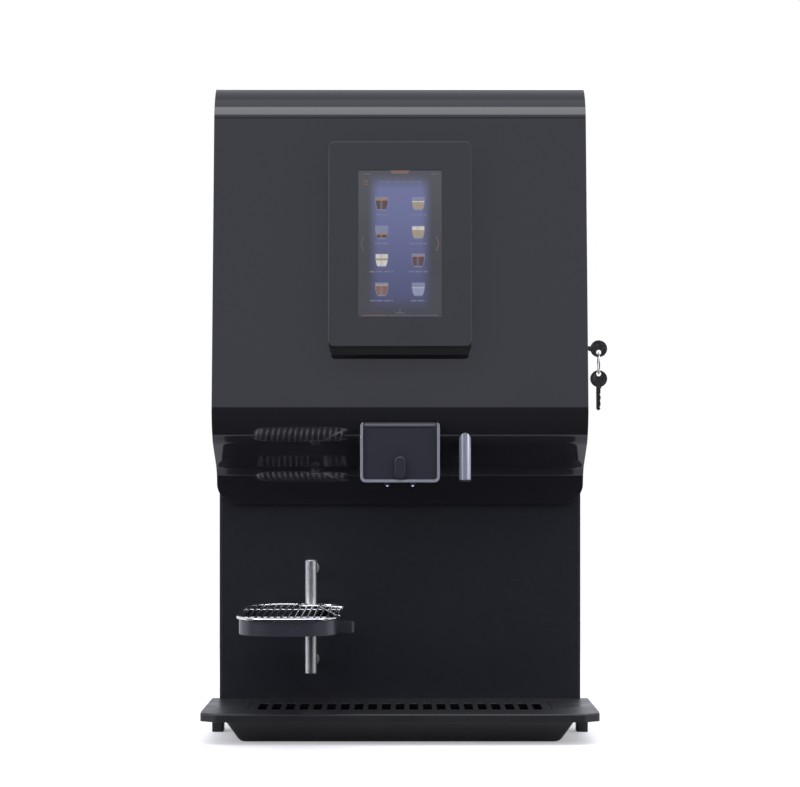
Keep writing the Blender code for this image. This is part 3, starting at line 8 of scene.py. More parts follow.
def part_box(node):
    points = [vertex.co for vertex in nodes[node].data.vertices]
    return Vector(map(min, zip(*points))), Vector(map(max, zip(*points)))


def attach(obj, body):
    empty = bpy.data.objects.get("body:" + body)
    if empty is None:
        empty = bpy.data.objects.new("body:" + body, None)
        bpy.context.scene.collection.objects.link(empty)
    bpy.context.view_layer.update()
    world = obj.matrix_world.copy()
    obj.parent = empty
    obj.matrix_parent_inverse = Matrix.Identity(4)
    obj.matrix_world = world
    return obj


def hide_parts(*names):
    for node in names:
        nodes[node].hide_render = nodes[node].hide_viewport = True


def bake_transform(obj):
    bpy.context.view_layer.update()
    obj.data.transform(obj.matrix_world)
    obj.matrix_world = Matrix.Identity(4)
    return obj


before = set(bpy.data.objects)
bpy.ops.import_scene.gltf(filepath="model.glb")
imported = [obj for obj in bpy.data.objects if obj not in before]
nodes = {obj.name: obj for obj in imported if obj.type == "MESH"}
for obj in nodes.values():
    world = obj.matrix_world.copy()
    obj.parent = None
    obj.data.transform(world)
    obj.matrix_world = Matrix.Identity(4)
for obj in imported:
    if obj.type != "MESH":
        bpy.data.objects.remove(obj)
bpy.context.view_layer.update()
print("frame loaded:", len(nodes), "nodes")


# ---- modelling helpers: every one starts with nothing selected
def pickOnly(obj):
    bpy.ops.object.select_all(action="DESELECT")
    obj.select_set(True)
    bpy.context.view_layer.objects.active = obj


def named(name):
    obj = bpy.context.active_object
    obj.name = obj.data.name = name
    bpy.ops.object.transform_apply(location=True, rotation=True, scale=True)
    return obj


def selectIn(obj, kind, test):
    # edit mode is on; only the faces, edges or points that pass the test stay selected
    bpy.ops.mesh.select_mode(type=kind)
    bpy.ops.mesh.select_all(action="DESELECT")
    shape = bmesh.from_edit_mesh(obj.data)
    group = {"FACE": shape.faces, "EDGE": shape.edges, "VERT": shape.verts}[kind]
    for item in group:
        item.select_set(bool(test(item)))
    shape.select_flush_mode()
    bmesh.update_edit_mesh(obj.data)


def applyAll(obj):
    pickOnly(obj)
    for step in list(obj.modifiers):
        bpy.ops.object.modifier_apply(modifier=step.name)


def rounded(obj, width, segments=3, angle=35):
    # small radius on every edge sharper than the angle
    if width > 0:
        step = obj.modifiers.new("edges", "BEVEL")
        step.width, step.segments, step.limit_method = width, segments, "ANGLE"
        step.angle_limit, step.use_clamp_overlap = math.radians(angle), True
        step.harden_normals = False
        applyAll(obj)
    return obj


def smooth(obj, angle=35):
    pickOnly(obj)
    bpy.ops.object.shade_smooth_by_angle(angle=math.radians(angle))
    return obj


def evenShading(obj, angle=38):
    # large flat faces keep their own direction, so reflections in them stay straight
    pickOnly(obj)
    if obj.data.has_custom_normals:
        bpy.ops.mesh.customdata_custom_splitnormals_clear()
    smooth(obj, angle)
    step = obj.modifiers.new("even", "WEIGHTED_NORMAL")
    step.mode, step.weight, step.keep_sharp = "FACE_AREA", 100, True
    applyAll(obj)
    return obj


def outward(obj):
    pickOnly(obj)
    bpy.ops.object.mode_set(mode="EDIT")
    bpy.ops.mesh.select_all(action="SELECT")
    bpy.ops.mesh.remove_doubles(threshold=1e-6)
    bpy.ops.mesh.normals_make_consistent(inside=False)
    bpy.ops.object.mode_set(mode="OBJECT")
    return obj


def block(name, low, high, corner=0.0, along="Y", edge=0.0006, steps=8):
    # a box whose four edges along one axis take the corner radius, then all edges the small one
    bpy.ops.object.select_all(action="DESELECT")
    low, high = Vector(low), Vector(high)
    bpy.ops.mesh.primitive_cube_add(size=1, location=(low + high) / 2, scale=high - low)
    obj = named(name)
    if corner > 0:
        axis = {"X": Vector((1, 0, 0)), "Y": Vector((0, 1, 0)), "Z": Vector((0, 0, 1))}[along]
        bpy.ops.object.mode_set(mode="EDIT")
        selectIn(obj, "EDGE", lambda e: abs((e.verts[1].co - e.verts[0].co).normalized().dot(axis)) > 0.9)
        bpy.ops.mesh.bevel(offset=corner, segments=steps, affect="EDGES")
        bpy.ops.object.mode_set(mode="OBJECT")
    return smooth(rounded(obj, edge))


def rod(name, start, end, radius, edge=0.0004, sides=48, endRadius=None):
    bpy.ops.object.select_all(action="DESELECT")
    start, end = Vector(start), Vector(end)
    run = end - start
    bpy.ops.mesh.primitive_cone_add(vertices=sides, radius1=radius,
                                    radius2=radius if endRadius is None else endRadius,
                                    depth=run.length, location=(start + end) / 2,
                                    rotation=run.to_track_quat("Z", "Y").to_euler())
    return smooth(rounded(named(name), edge, 2, 50))


def turned(name, rings, centre=(0, 0, 0), axis="Z", sides=56, edge=0.0, hollow=False):
    # a ring pulled along the axis and widened or narrowed at each (radius, height)
    bpy.ops.object.select_all(action="DESELECT")
    bpy.ops.mesh.primitive_circle_add(vertices=sides, radius=rings[0][0], location=(0, 0, rings[0][1]))
    obj = named(name)
    bpy.ops.object.mode_set(mode="EDIT")
    bpy.ops.mesh.select_all(action="SELECT")
    if not hollow:
        bpy.ops.mesh.edge_face_add()
        selectIn(obj, "EDGE", lambda e: True)
    for (r0, z0), (r1, z1) in zip(rings, rings[1:]):
        bpy.ops.mesh.extrude_edges_move(TRANSFORM_OT_translate={"value": (0, 0, z1 - z0)})
        if abs(r1 - r0) > 1e-7:
            bpy.ops.transform.resize(value=(r1 / r0, r1 / r0, 1))
    if not hollow:
        bpy.ops.mesh.edge_face_add()
    bpy.ops.object.mode_set(mode="OBJECT")
    turn = {"Z": Matrix.Identity(4), "Y": Matrix.Rotation(-math.pi / 2, 4, "X"),
            "-Y": Matrix.Rotation(math.pi / 2, 4, "X"), "X": Matrix.Rotation(math.pi / 2, 4, "Y"),
            "-X": Matrix.Rotation(-math.pi / 2, 4, "Y")}[axis]
    obj.data.transform(Matrix.Translation(centre) @ turn)
    return smooth(rounded(outward(obj), edge, 3, 28))


def plate(name, points, low, high, along="Y", edge=0.0005, angle=35):
    # a flat outline pulled from low to high along one axis
    bpy.ops.object.select_all(action="DESELECT")
    bpy.ops.mesh.primitive_circle_add(vertices=len(points), radius=1, fill_type="NGON")
    obj = named(name)
    for vertex, (a, b) in zip(obj.data.vertices, points):
        vertex.co = {"X": (low, a, b), "Y": (a, low, b), "Z": (a, b, low)}[along]
    pull = Vector({"X": (1, 0, 0), "Y": (0, 1, 0), "Z": (0, 0, 1)}[along]) * (high - low)
    bpy.ops.object.mode_set(mode="EDIT")
    bpy.ops.mesh.select_all(action="SELECT")
    bpy.ops.mesh.extrude_region_move(TRANSFORM_OT_translate={"value": pull})
    bpy.ops.object.mode_set(mode="OBJECT")
    return smooth(rounded(outward(obj), edge, 3, angle), angle)


def bent(name, points, radius, sides=16, smoothSteps=8, closed=False):
    # a round wire or hose on a smooth line through the points
    bpy.ops.object.select_all(action="DESELECT")
    line = bpy.data.curves.new(name, "CURVE")
    line.dimensions, line.resolution_u = "3D", smoothSteps
    line.bevel_depth, line.bevel_resolution, line.use_fill_caps = radius, sides // 4, not closed
    spline = line.splines.new("BEZIER")
    spline.bezier_points.add(len(points) - 1)
    for knot, point in zip(spline.bezier_points, points):
        knot.co = point
        knot.handle_left_type = knot.handle_right_type = "AUTO"
    spline.use_cyclic_u = closed
    obj = bpy.data.objects.new(name, line)
    bpy.context.scene.collection.objects.link(obj)
    pickOnly(obj)
    bpy.ops.object.convert(target="MESH")
    return smooth(outward(bpy.context.active_object), 50)


def cutOut(obj, *tools):
    for tool in tools:
        step = obj.modifiers.new("cut", "BOOLEAN")
        step.operation, step.object, step.solver = "DIFFERENCE", tool, "EXACT"
        applyAll(obj)
        bpy.data.objects.remove(tool)
    return obj


def joined(name, *pieces):
    bpy.ops.object.select_all(action="DESELECT")
    for piece in pieces:
        piece.select_set(True)
    bpy.context.view_layer.objects.active = pieces[0]
    if len(pieces) > 1:
        bpy.ops.object.join()
    obj = bpy.context.active_object
    obj.name = obj.data.name = name
    return obj


def copied(obj, move=(0, 0, 0), mirror=False, name=None):
    # a copy with its own mesh
    twin = obj.copy()
    twin.data = obj.data.copy()
    bpy.context.scene.collection.objects.link(twin)
    if mirror:
        twin.data.transform(Matrix.Diagonal((-1, 1, 1, 1)))
        twin.data.flip_normals()
    twin.data.transform(Matrix.Translation(move))
    if name:
        twin.name = twin.data.name = name
    return twin


def fromNode(node, edge=0.0005, name=None, angle=35):
    # the CAD solid as clean flat faces with a small radius on its edges
    obj = copied(nodes[node], name=name or node + "Finished")
    for key in list(obj.keys()):
        del obj[key]
    obj.parent = None
    pickOnly(obj)
    bpy.ops.object.mode_set(mode="EDIT")
    bpy.ops.mesh.select_all(action="SELECT")
    bpy.ops.mesh.remove_doubles(threshold=1e-6)
    bpy.ops.mesh.dissolve_limited(angle_limit=math.radians(1))
    bpy.ops.object.mode_set(mode="OBJECT")
    bpy.ops.mesh.customdata_custom_splitnormals_clear()
    return smooth(rounded(obj, edge, 2, angle), 35)


def own(obj, body, material, slot, *replaced):
    # finish of a piece, the body it moves with and the nodes that it stands for
    evenShading(obj)
    if material is not None:
        obj.data.materials.clear()
        obj.data.materials.append(material)
    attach(obj, body)
    if replaced:
        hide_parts(*replaced)
    return obj


def arcPoints(centre, radius, startDeg, endDeg, steps):
    turns = [math.radians(startDeg + (endDeg - startDeg) * i / steps) for i in range(steps + 1)]
    return [(centre[0] + radius * math.cos(a), centre[1] + radius * math.sin(a)) for a in turns]


# ---- shader helpers
class Value:
    # a node's output that Python arithmetic can use
    def __init__(self, shader, socket):
        self.shader, self.socket = shader, socket

    def maths(self, operation, *others):
        return self.shader.node("ShaderNodeMath", {"operation": operation},
                                dict(enumerate((self, *others))))

    def __add__(self, other):
        return self.maths("ADD", other)

    def __sub__(self, other):
        return self.maths("SUBTRACT", other)

    def __mul__(self, other):
        return self.maths("MULTIPLY", other)

    def __rsub__(self, other):
        return self.shader.node("ShaderNodeMath", {"operation": "SUBTRACT"}, {0: other, 1: self})

    def __gt__(self, other):
        return self.maths("GREATER_THAN", other)

    def __lt__(self, other):
        return self.maths("LESS_THAN", other)

    __radd__, __rmul__ = __add__, __mul__

    def ramp(self, low, high, toLow=0.0, toHigh=1.0):
        return self.shader.node("ShaderNodeMapRange", {"interpolation_type": "SMOOTHSTEP"},
                                {0: self, 1: low, 2: high, 3: toLow, 4: toHigh})


class Shader:
    def __init__(self, name, colour, roughness, metallic=0.0, coat=0.0):
        self.material = bpy.data.materials.new(name)
        self.material.use_nodes = True
        self.tree = self.material.node_tree
        self.main = self.tree.nodes["Principled BSDF"]
        self.main.inputs["Base Color"].default_value = (*colour, 1)
        self.main.inputs["Roughness"].default_value = roughness
        self.main.inputs["Metallic"].default_value = metallic
        self.main.inputs["Coat Weight"].default_value = coat
        self.colour = colour

    def node(self, kind, settings=None, inputs=None, output=0):
        made = self.tree.nodes.new(kind)
        for key, value in (settings or {}).items():
            setattr(made, key, value)
        for key, value in (inputs or {}).items():
            self.feed(made.inputs[key], value)
        return Value(self, made.outputs[output])

    def feed(self, socket, value):
        if isinstance(value, Value):
            self.tree.links.new(value.socket, socket)
        elif isinstance(value, tuple) and len(value) == 3 and socket.type == "RGBA":
            socket.default_value = (*value, 1)
        else:
            socket.default_value = value

    def place(self, centre=(0, 0, 0), stretch=(1, 1, 1)):
        # metres on the piece, moved and stretched
        spot = self.node("ShaderNodeTexCoord", output="Object")
        shift = tuple(-c * s for c, s in zip(centre, stretch))
        return self.node("ShaderNodeMapping", {}, {"Vector": spot, "Location": shift, "Scale": stretch})

    def noise(self, size, detail=3.0, stretch=(1, 1, 1), rough=0.5):
        # grains of about the given size in metres
        return self.node("ShaderNodeTexNoise", {}, {"Vector": self.place(stretch=stretch),
                                                    "Scale": 1 / size, "Detail": detail,
                                                    "Roughness": rough})

    def part(self, vector, letter):
        return self.node("ShaderNodeSeparateXYZ", {}, {0: vector}, output=letter)

    def mix(self, amount, first, second):
        made = self.tree.nodes.new("ShaderNodeMix")
        made.data_type, made.clamp_factor = "RGBA", True
        self.feed(made.inputs["Factor"], amount)
        for socket, value in ((made.inputs[6], first), (made.inputs[7], second)):
            self.feed(socket, value)
        return Value(self, made.outputs[2])

    def set(self, **values):
        names = {"colour": "Base Color", "roughness": "Roughness", "metallic": "Metallic",
                 "coat": "Coat Weight", "alpha": "Alpha", "glow": "Emission Color",
                 "glowStrength": "Emission Strength", "normal": "Normal"}
        for key, value in values.items():
            self.feed(self.main.inputs[names[key]], value)
        return self

    def bump(self, height, depth, strength=1.0):
        return self.set(normal=self.node("ShaderNodeBump", {}, {"Height": height, "Distance": depth,
                                                               "Strength": strength}))


def glossLacquer():
    # deep black sheet with a faint blue cast, wipe marks and a little orange peel
    s = Shader("glossLacquer", (0.0095, 0.0095, 0.0115), 0.07)
    wipes = s.noise(0.09, 4, (1, 1, 0.35))
    dust = s.noise(0.0009, 2)
    s.set(roughness=wipes.ramp(0.45, 0.75, 0.055, 0.085) + dust.ramp(0.70, 0.82) * 0.05,
          colour=s.mix(dust.ramp(0.74, 0.80) * 0.35, s.colour, (0.05, 0.05, 0.055)))
    return s.bump(s.noise(0.006, 2), 0.00002, 0.35).material


def satinHead():
    s = Shader("satinHead", (0.0165, 0.0170, 0.0245), 0.34)
    brush = s.noise(0.0006, 3, (0.04, 1, 1))
    s.set(roughness=brush.ramp(0.3, 0.7, 0.32, 0.38))
    return s.bump(brush, 0.000004, 0.2).material


def powderCoat(name="powderCoat", colour=(0.0105, 0.0105, 0.013), rough=0.46):
    # baked powder: fine orange peel with scattered lighter grains
    s = Shader(name, colour, rough)
    grain = s.noise(0.0011, 3, rough=0.6)
    cloud = s.noise(0.16, 3)
    lighter = tuple(c * 1.9 + 0.002 for c in colour)
    s.set(colour=s.mix(grain.ramp(0.52, 0.72) * 0.45 + cloud.ramp(0.4, 0.8) * 0.15, colour, lighter),
          roughness=grain.ramp(0.3, 0.75, rough - 0.07, rough + 0.10))
    return s.bump(grain, 0.00012, 0.5).material


def mouldedPlastic(name, colour, rough, grainSize=0.0008, depth=0.00008):
    # injection moulded plastic with a fine spark-eroded grain and handling marks
    s = Shader(name, colour, rough)
    grain = s.noise(grainSize, 2)
    rub = s.noise(0.035, 4)
    s.set(roughness=rub.ramp(0.45, 0.72, rough, rough - 0.12),
          colour=s.mix(rub.ramp(0.5, 0.8) * 0.5, colour, tuple(c * 1.6 + 0.003 for c in colour)))
    return s.bump(grain, depth, 0.6).material


def brushedSteel(name, tone, rough, run, streak=0.0005, stain=0.25, metal=1.0, blue=1.03):
    # rolled sheet: streaks along one direction, faint stains and finger marks
    s = Shader(name, (tone, tone, tone * blue), rough, metal)
    lines = s.noise(streak, 4, run, 0.65)
    cloud = s.noise(0.05, 5)
    dull = tuple(tone * k for k in (0.62, 0.62, 0.64 * blue))
    s.set(colour=s.mix(lines.ramp(0.30, 0.72) * 0.35 + cloud.ramp(0.45, 0.7) * stain, s.colour, dull),
          roughness=lines.ramp(0.3, 0.7, rough - 0.06, rough + 0.08) + cloud.ramp(0.5, 0.7) * 0.07)
    return s.bump(lines, 0.00002, 0.35).material


def polishedSteel(name="polishedSteel", tone=0.72, rough=0.12, warm=1.0):
    s = Shader(name, (tone * warm, tone, tone * 1.01), rough, 1.0)
    fine = s.noise(0.0012, 3, (1, 1, 0.15))
    marks = s.noise(0.02, 4)
    s.set(roughness=fine.ramp(0.3, 0.75, rough - 0.03, rough + 0.05) + marks.ramp(0.55, 0.75) * 0.05,
          colour=s.mix(marks.ramp(0.5, 0.8) * 0.25, s.colour, (tone * 0.8,) * 3))
    return s.bump(fine, 0.00001, 0.25).material


def satinPlastic(name, tone, rough=0.38, metal=0.0):
    s = Shader(name, tone, rough, metal)
    rub = s.noise(0.02, 4)
    s.set(colour=s.mix(rub.ramp(0.45, 0.8) * 0.5, tone, tuple(c * 0.82 for c in tone)),
          roughness=rub.ramp(0.4, 0.75, rough - 0.05, rough + 0.08))
    return s.bump(s.noise(0.0009, 2), 0.00005, 0.4).material


def rubberBlack():
    s = Shader("rubberBlack", (0.013, 0.013, 0.014), 0.78)
    return s.bump(s.noise(0.0012, 3), 0.0001, 0.6).material


glossBlack = glossLacquer()
headBlack = satinHead()
sheetBlack = powderCoat("powderCoat", (0.0085, 0.0090, 0.0140))
capBlack = powderCoat("capGrain", (0.013, 0.013, 0.0155), 0.55)
trayBlack = mouldedPlastic("trayPlastic", (0.0115, 0.0115, 0.0125), 0.42)
mouldBlack = mouldedPlastic("mouldedBlack", (0.011, 0.011, 0.012), 0.40)
dishBlack = mouldedPlastic("dishPlastic", (0.0200, 0.0208, 0.0270), 0.32)
steelPlate = brushedSteel("steelPlate", 0.47, 0.38, (1, 1, 0.03), stain=0.45, metal=0.72, blue=1.10)
steelRail = brushedSteel("steelRail", 0.60, 0.30, (0.02, 1, 1), stain=0.12, metal=0.45)
steelRod = polishedSteel("rodSteel", 0.62, 0.34)
brightSteel = polishedSteel("brightSteel", 0.74, 0.10)
trimSteel = satinPlastic("trimSteel", (0.50, 0.52, 0.60), 0.20, 0.7)
keyNickel = polishedSteel("keyNickel", 0.60, 0.20, 1.04)
softRubber = rubberBlack()
print("finishes ready")


# ---- camera, light and floor
def studio():
    camera = {"distance": 3.05, "height": 0.379, "lens": 110, "rise": 0.039}
    bpy.ops.object.select_all(action="DESELECT")
    bpy.ops.object.camera_add(location=(0, -camera["distance"], camera["height"]),
                              rotation=(math.pi / 2, 0, 0))
    view = bpy.context.active_object
    view.name = "frontCamera"
    view.data.lens, view.data.shift_y = camera["lens"], camera["rise"]
    view.data.clip_end = 60
    bpy.context.scene.camera = view
    bpy.context.scene.view_settings.view_transform = "Standard"
    # name, place, aimed at, width, height, watts
    emitters = (("topStrip", (0, -1.35, 2.5), (0, 0, 0.4), 3.6, 0.9, 34),
             ("leftBox", (-2.3, -1.6, 1.4), (0, 0, 0.35), 1.2, 1.6, 26),
             ("rightBox", (2.4, -1.2, 1.1), (0, 0, 0.35), 0.9, 1.6, 13),
             ("rearBox", (0.6, 2.4, 1.9), (0, 0.2, 0.4), 2.2, 1.2, 22))
    coolWhite = (0.97, 0.98, 1.0)
    for name, spot, aim, wide, tall, watts in emitters:
        bpy.ops.object.select_all(action="DESELECT")
        bpy.ops.object.light_add(type="AREA", location=spot)
        emitter = bpy.context.active_object
        emitter.name = name
        emitter.data.shape, emitter.data.size, emitter.data.size_y = "RECTANGLE", wide, tall
        emitter.data.energy, emitter.data.color = watts, coolWhite
        emitter.rotation_euler = (Vector(aim) - Vector(spot)).to_track_quat("-Z", "Y").to_euler()


def surroundings():
    # white behind the object; the front light is a wide panel above the user, dark below it
    world = bpy.data.worlds.new("studioWorld")
    bpy.context.scene.world = world
    world.use_nodes = True
    s = Shader.__new__(Shader)
    s.tree, s.main, s.colour = world.node_tree, world.node_tree.nodes["Background"], (1, 1, 1)
    look = s.node("ShaderNodeTexCoord", output="Generated")
    up, back = s.part(look, "Z"), s.part(look, "Y")
    panel = {"bottom": 0.222, "top": 0.95, "shadeLine": (0.505, 0.52, 0.545, 0.56)}
    lit = up.ramp(panel["bottom"], panel["bottom"] + 0.012)
    a, b, c, d = panel["shadeLine"]
    shadeLine = up.ramp(a, b) * (1 - up.ramp(c, d))
    front = lit * (1 - shadeLine) * up.ramp(0.5, 0.9, 0.95, 1.5) + 0.012
    behind = back.ramp(-0.12, 0.10)
    across = s.node("ShaderNodeMath", {"operation": "ABSOLUTE"}, {0: s.part(look, "X")})
    walls = across.ramp(0.50, 0.74) * up.ramp(-0.35, -0.15) * 0.85
    level = (front * (1 - walls) + walls) * (1 - behind) + behind * 0.9
    seen = s.node("ShaderNodeLightPath", output="Is Camera Ray")
    shade = s.node("ShaderNodeCombineXYZ", {}, {0: level * 0.93, 1: level * 0.95, 2: level * 1.08})
    s.feed(s.main.inputs["Color"], s.mix(seen, shade, (1, 1, 1)))
    s.main.inputs["Strength"].default_value = 1.0


def floorSheet():
    bpy.ops.object.select_all(action="DESELECT")
    bpy.ops.mesh.primitive_circle_add(vertices=96, radius=14, fill_type="NGON")
    floor = named("paleFloor")
    s = Shader("paleFloor", (0.80, 0.80, 0.80), 0.9)
    s.main.inputs["Specular IOR Level"].default_value = 0.1
    spot = s.node("ShaderNodeTexCoord", output="Object")
    away = s.node("ShaderNodeVectorMath", {"operation": "LENGTH"}, {0: spot}, output="Value")
    far = away.ramp(0.55, 1.25)
    toViewer = s.part(spot, "Y").ramp(-0.215, -0.185, 1, 0)
    seen = s.node("ShaderNodeLightPath", output="Is Camera Ray")
    mirrored = s.node("ShaderNodeLightPath", output="Is Glossy Ray")
    white = s.node("ShaderNodeEmission", {}, {"Color": (1, 1, 1), "Strength": 1.0})
    lift = s.node("ShaderNodeEmission", {}, {"Color": (1, 1, 1), "Strength": 0.30})
    dark = s.node("ShaderNodeEmission", {}, {"Color": (1, 1, 1), "Strength": 0.015})
    own_ = Value(s, s.main.outputs[0])
    near = s.node("ShaderNodeAddShader", {}, {0: own_, 1: lift})
    shown = s.node("ShaderNodeMixShader", {}, {0: far, 1: near, 2: white})
    plain = s.node("ShaderNodeMixShader", {}, {0: mirrored * toViewer, 1: own_, 2: dark})
    out = s.node("ShaderNodeMixShader", {}, {0: seen, 1: plain, 2: shown})
    s.tree.links.new(out.socket, s.tree.nodes["Material Output"].inputs["Surface"])
    floor.data.materials.append(s.material)
    floor.location.z = -0.0004


studio()
surroundings()
floorSheet()
print("studio ready")


# ---- door: skin, end caps, touch unit, dispensing head
door = {"half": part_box("door_cover")[1].x, "back": -0.006, "top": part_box("door_cover")[1].z,
        "bottom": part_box("door_cover")[0].z, "slope": 0.1205, "slopeDepth": 0.0954, "slopeZ": 0.420,
        "bulgeZ": 0.3689, "lip": (0.0094, 0.3205), "lipEdge": 0.006,
        "rolls": (0.054, 0.046, 0.028), "sheet": 0.0035, "corner": 0.028}


def depthAt(z):
    return door["slopeDepth"] + (door["slopeZ"] - z) * door["slope"]


def doorCorners():
    return [(0, door["top"]), (depthAt(door["top"]), door["top"]), (depthAt(door["bulgeZ"]), door["bulgeZ"]),
            door["lip"], (door["lipEdge"], door["bottom"])]


def doorLine(inset=0.0, steps=14):
    # side line of the door (depth, height), moved inwards by inset
    corners = [Vector(p) for p in doorCorners()]
    sides = []
    for a, b in zip(corners, corners[1:]):
        run = (b - a).normalized()
        inner = Vector((-run.y, run.x)) * -inset
        sides.append((a + inner, b + inner))
    moved = [sides[0][0]]
    for (a, b), (c, d) in zip(sides, sides[1:]):
        u, v = b - a, d - c
        t = ((c.x - a.x) * v.y - (c.y - a.y) * v.x) / (u.x * v.y - u.y * v.x)
        moved.append(a + u * t)
    moved.append(sides[-1][1])
    line = [tuple(moved[0])]
    for before, corner, after, roll in zip(moved, moved[1:], moved[2:], door["rolls"]):
        into, out = (before - corner).normalized(), (after - corner).normalized()
        half = into.angle(out) / 2
        inside = into.x * out.y - into.y * out.x
        radius = roll - inset if inside < 0 else roll + inset
        centre = corner + (into + out).normalized() * radius / math.sin(half)
        first = corner + into * radius / math.tan(half) - centre
        last = corner + out * radius / math.tan(half) - centre
        swing = first.angle_signed(last)
        for i in range(steps + 1):
            arm = first.copy()
            arm.rotate(Matrix.Rotation(-swing * i / steps, 2))
            line.append(tuple(centre + arm))
    line.append(tuple(moved[-1]))
    return line


def doorSolid(name, x0, x1, grow):
    line = doorLine(-grow)
    points = [(0.03, door["top"] + 0.02), *[(door["back"] - t, z) for t, z in line], (0.03, door["bottom"])]
    return plate(name, points, x0, x1, "X", 0)


def doorSkin():
    # one strip pulled edge by edge down the door, its bends then rolled
    corners = doorCorners()
    half, back = door["half"], door["back"]
    bpy.ops.object.select_all(action="DESELECT")
    deep = corners[1][0]
    bpy.ops.mesh.primitive_plane_add(size=1, location=(0, back - deep / 2, door["top"]), scale=(1, 1, 1))
    skin = bpy.context.active_object
    skin.scale = (half * 2, deep, 1)
    skin = named("doorSkin")
    bpy.ops.object.mode_set(mode="EDIT")
    selectIn(skin, "EDGE", lambda e: all(abs(v.co.y - (back - deep)) < 1e-5 for v in e.verts))
    for (d0, z0), (d1, z1) in zip(corners[1:], corners[2:]):
        bpy.ops.mesh.extrude_edges_move(TRANSFORM_OT_translate={"value": (0, d0 - d1, z1 - z0)})
    for before, (depth, z), after, roll in zip(corners, corners[1:], corners[2:], door["rolls"]):
        a, b = Vector(before) - Vector((depth, z)), Vector(after) - Vector((depth, z))
        tangent = roll / math.tan(a.angle(b) / 2)
        selectIn(skin, "EDGE", lambda e: all(abs(v.co.z - z) < 1e-5 and abs(v.co.y - back + depth) < 1e-5
                                             for v in e.verts))
        bpy.ops.mesh.bevel(offset=tangent, segments=28, affect="EDGES")
    selectIn(skin, "VERT", lambda v: v.co.z < door["bottom"] + 1e-5)
    bpy.ops.mesh.bevel(offset=door["corner"], segments=14, affect="VERTICES")
    bpy.ops.mesh.select_all(action="SELECT")
    bpy.ops.mesh.normals_make_consistent(inside=False)
    bpy.ops.object.mode_set(mode="OBJECT")
    if max(skin.data.polygons, key=lambda f: f.area).normal.y > 0:
        skin.data.flip_normals()
    wall = skin.modifiers.new("sheet", "SOLIDIFY")
    wall.thickness, wall.offset, wall.use_even_offset = door["sheet"], -1, True
    applyAll(skin)
    chute = {"half": 0.030, "y": (-0.045, -0.012), "z": (0.3165, 0.3400)}
    cutOut(skin, block("chute", (-chute["half"], chute["y"][0], chute["z"][0]),
                       (chute["half"], chute["y"][1], chute["z"][1]), edge=0),
           rod("spoutHole", (0.0787, -0.080, 0.33), (0.0787, -0.080, 0.38), 0.0060, 0, 24))
    rounded(skin, 0.0009, 3, 50)
    return own(smooth(skin, 40), "door", glossBlack, "gloss_black", "door_cover")


def endCap(side, node):
    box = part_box(node)
    outer, inner = (box[1].x, box[1].x - 0.002) if side > 0 else (box[0].x + 0.002, box[0].x)
    low, high = sorted((outer, inner))
    line = [(max(t, 0), z) for t, z in doorLine(door["sheet"] + 0.0003) if z > 0.307 and t >= -0.0001]
    ring = [(door["back"] - t, z) for t, z in line]
    ring += [(door["back"], line[-1][1])]
    cap = plate(node + "Cap", ring, low, high, "X", 0.0004, 50)
    flange = block("flange", (box[0].x if side > 0 else box[0].x + 0.001, door["back"] - 0.002, 0.312),
                   (box[1].x - (0.001 if side > 0 else 0), door["back"] - 0.0001, door["top"] - 0.0045),
                   edge=0.0003)
    if side > 0:
        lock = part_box("lock_barrel")
        middle = (lock[0] + lock[1]) / 2
        cutOut(cap, rod("hole", (low - 0.01, middle.y, middle.z), (high + 0.01, middle.y, middle.z), 0.0088,
                        0, 40))
        cutOut(flange, block("camWay", (0.2089, -0.02, 0.4655), (0.2179, 0.01, 0.5045), edge=0))
    else:
        cutOut(flange, rod("cableHole", (-0.2110, -0.02, 0.6580), (-0.2110, 0.01, 0.6580), 0.0048, 0, 32))
    return own(joined(node + "Panel", cap, flange), "door", capBlack, "matte_black", node)


doorSkin()
endCap(-1, "door_cap_left")
endCap(1, "door_cap_right")
print("door shell done")


touch = {"half": 0.0865, "tall": 0.12575, "centreZ": 0.5945, "proud": 0.0245, "plate": 0.005,
         "corner": 0.007, "screenHalf": 0.0505, "screenTall": 0.090, "recess": 0.0008}


def onSlope(obj):
    lean = Matrix.Rotation(-math.atan(door["slope"]), 4, "X")
    depth = -door["back"] + depthAt(touch["centreZ"])
    obj.data.transform(Matrix.Translation((0, -depth, touch["centreZ"])) @ lean)
    return obj


def tinted(obj, colour, strength=1.0):
    # the piece's own colour, kept on the mesh for the display print
    tint = obj.data.color_attributes.new("tint", "FLOAT_COLOR", "CORNER")
    for corner in tint.data:
        corner.color = (*(c * strength for c in colour), 1)
    return obj


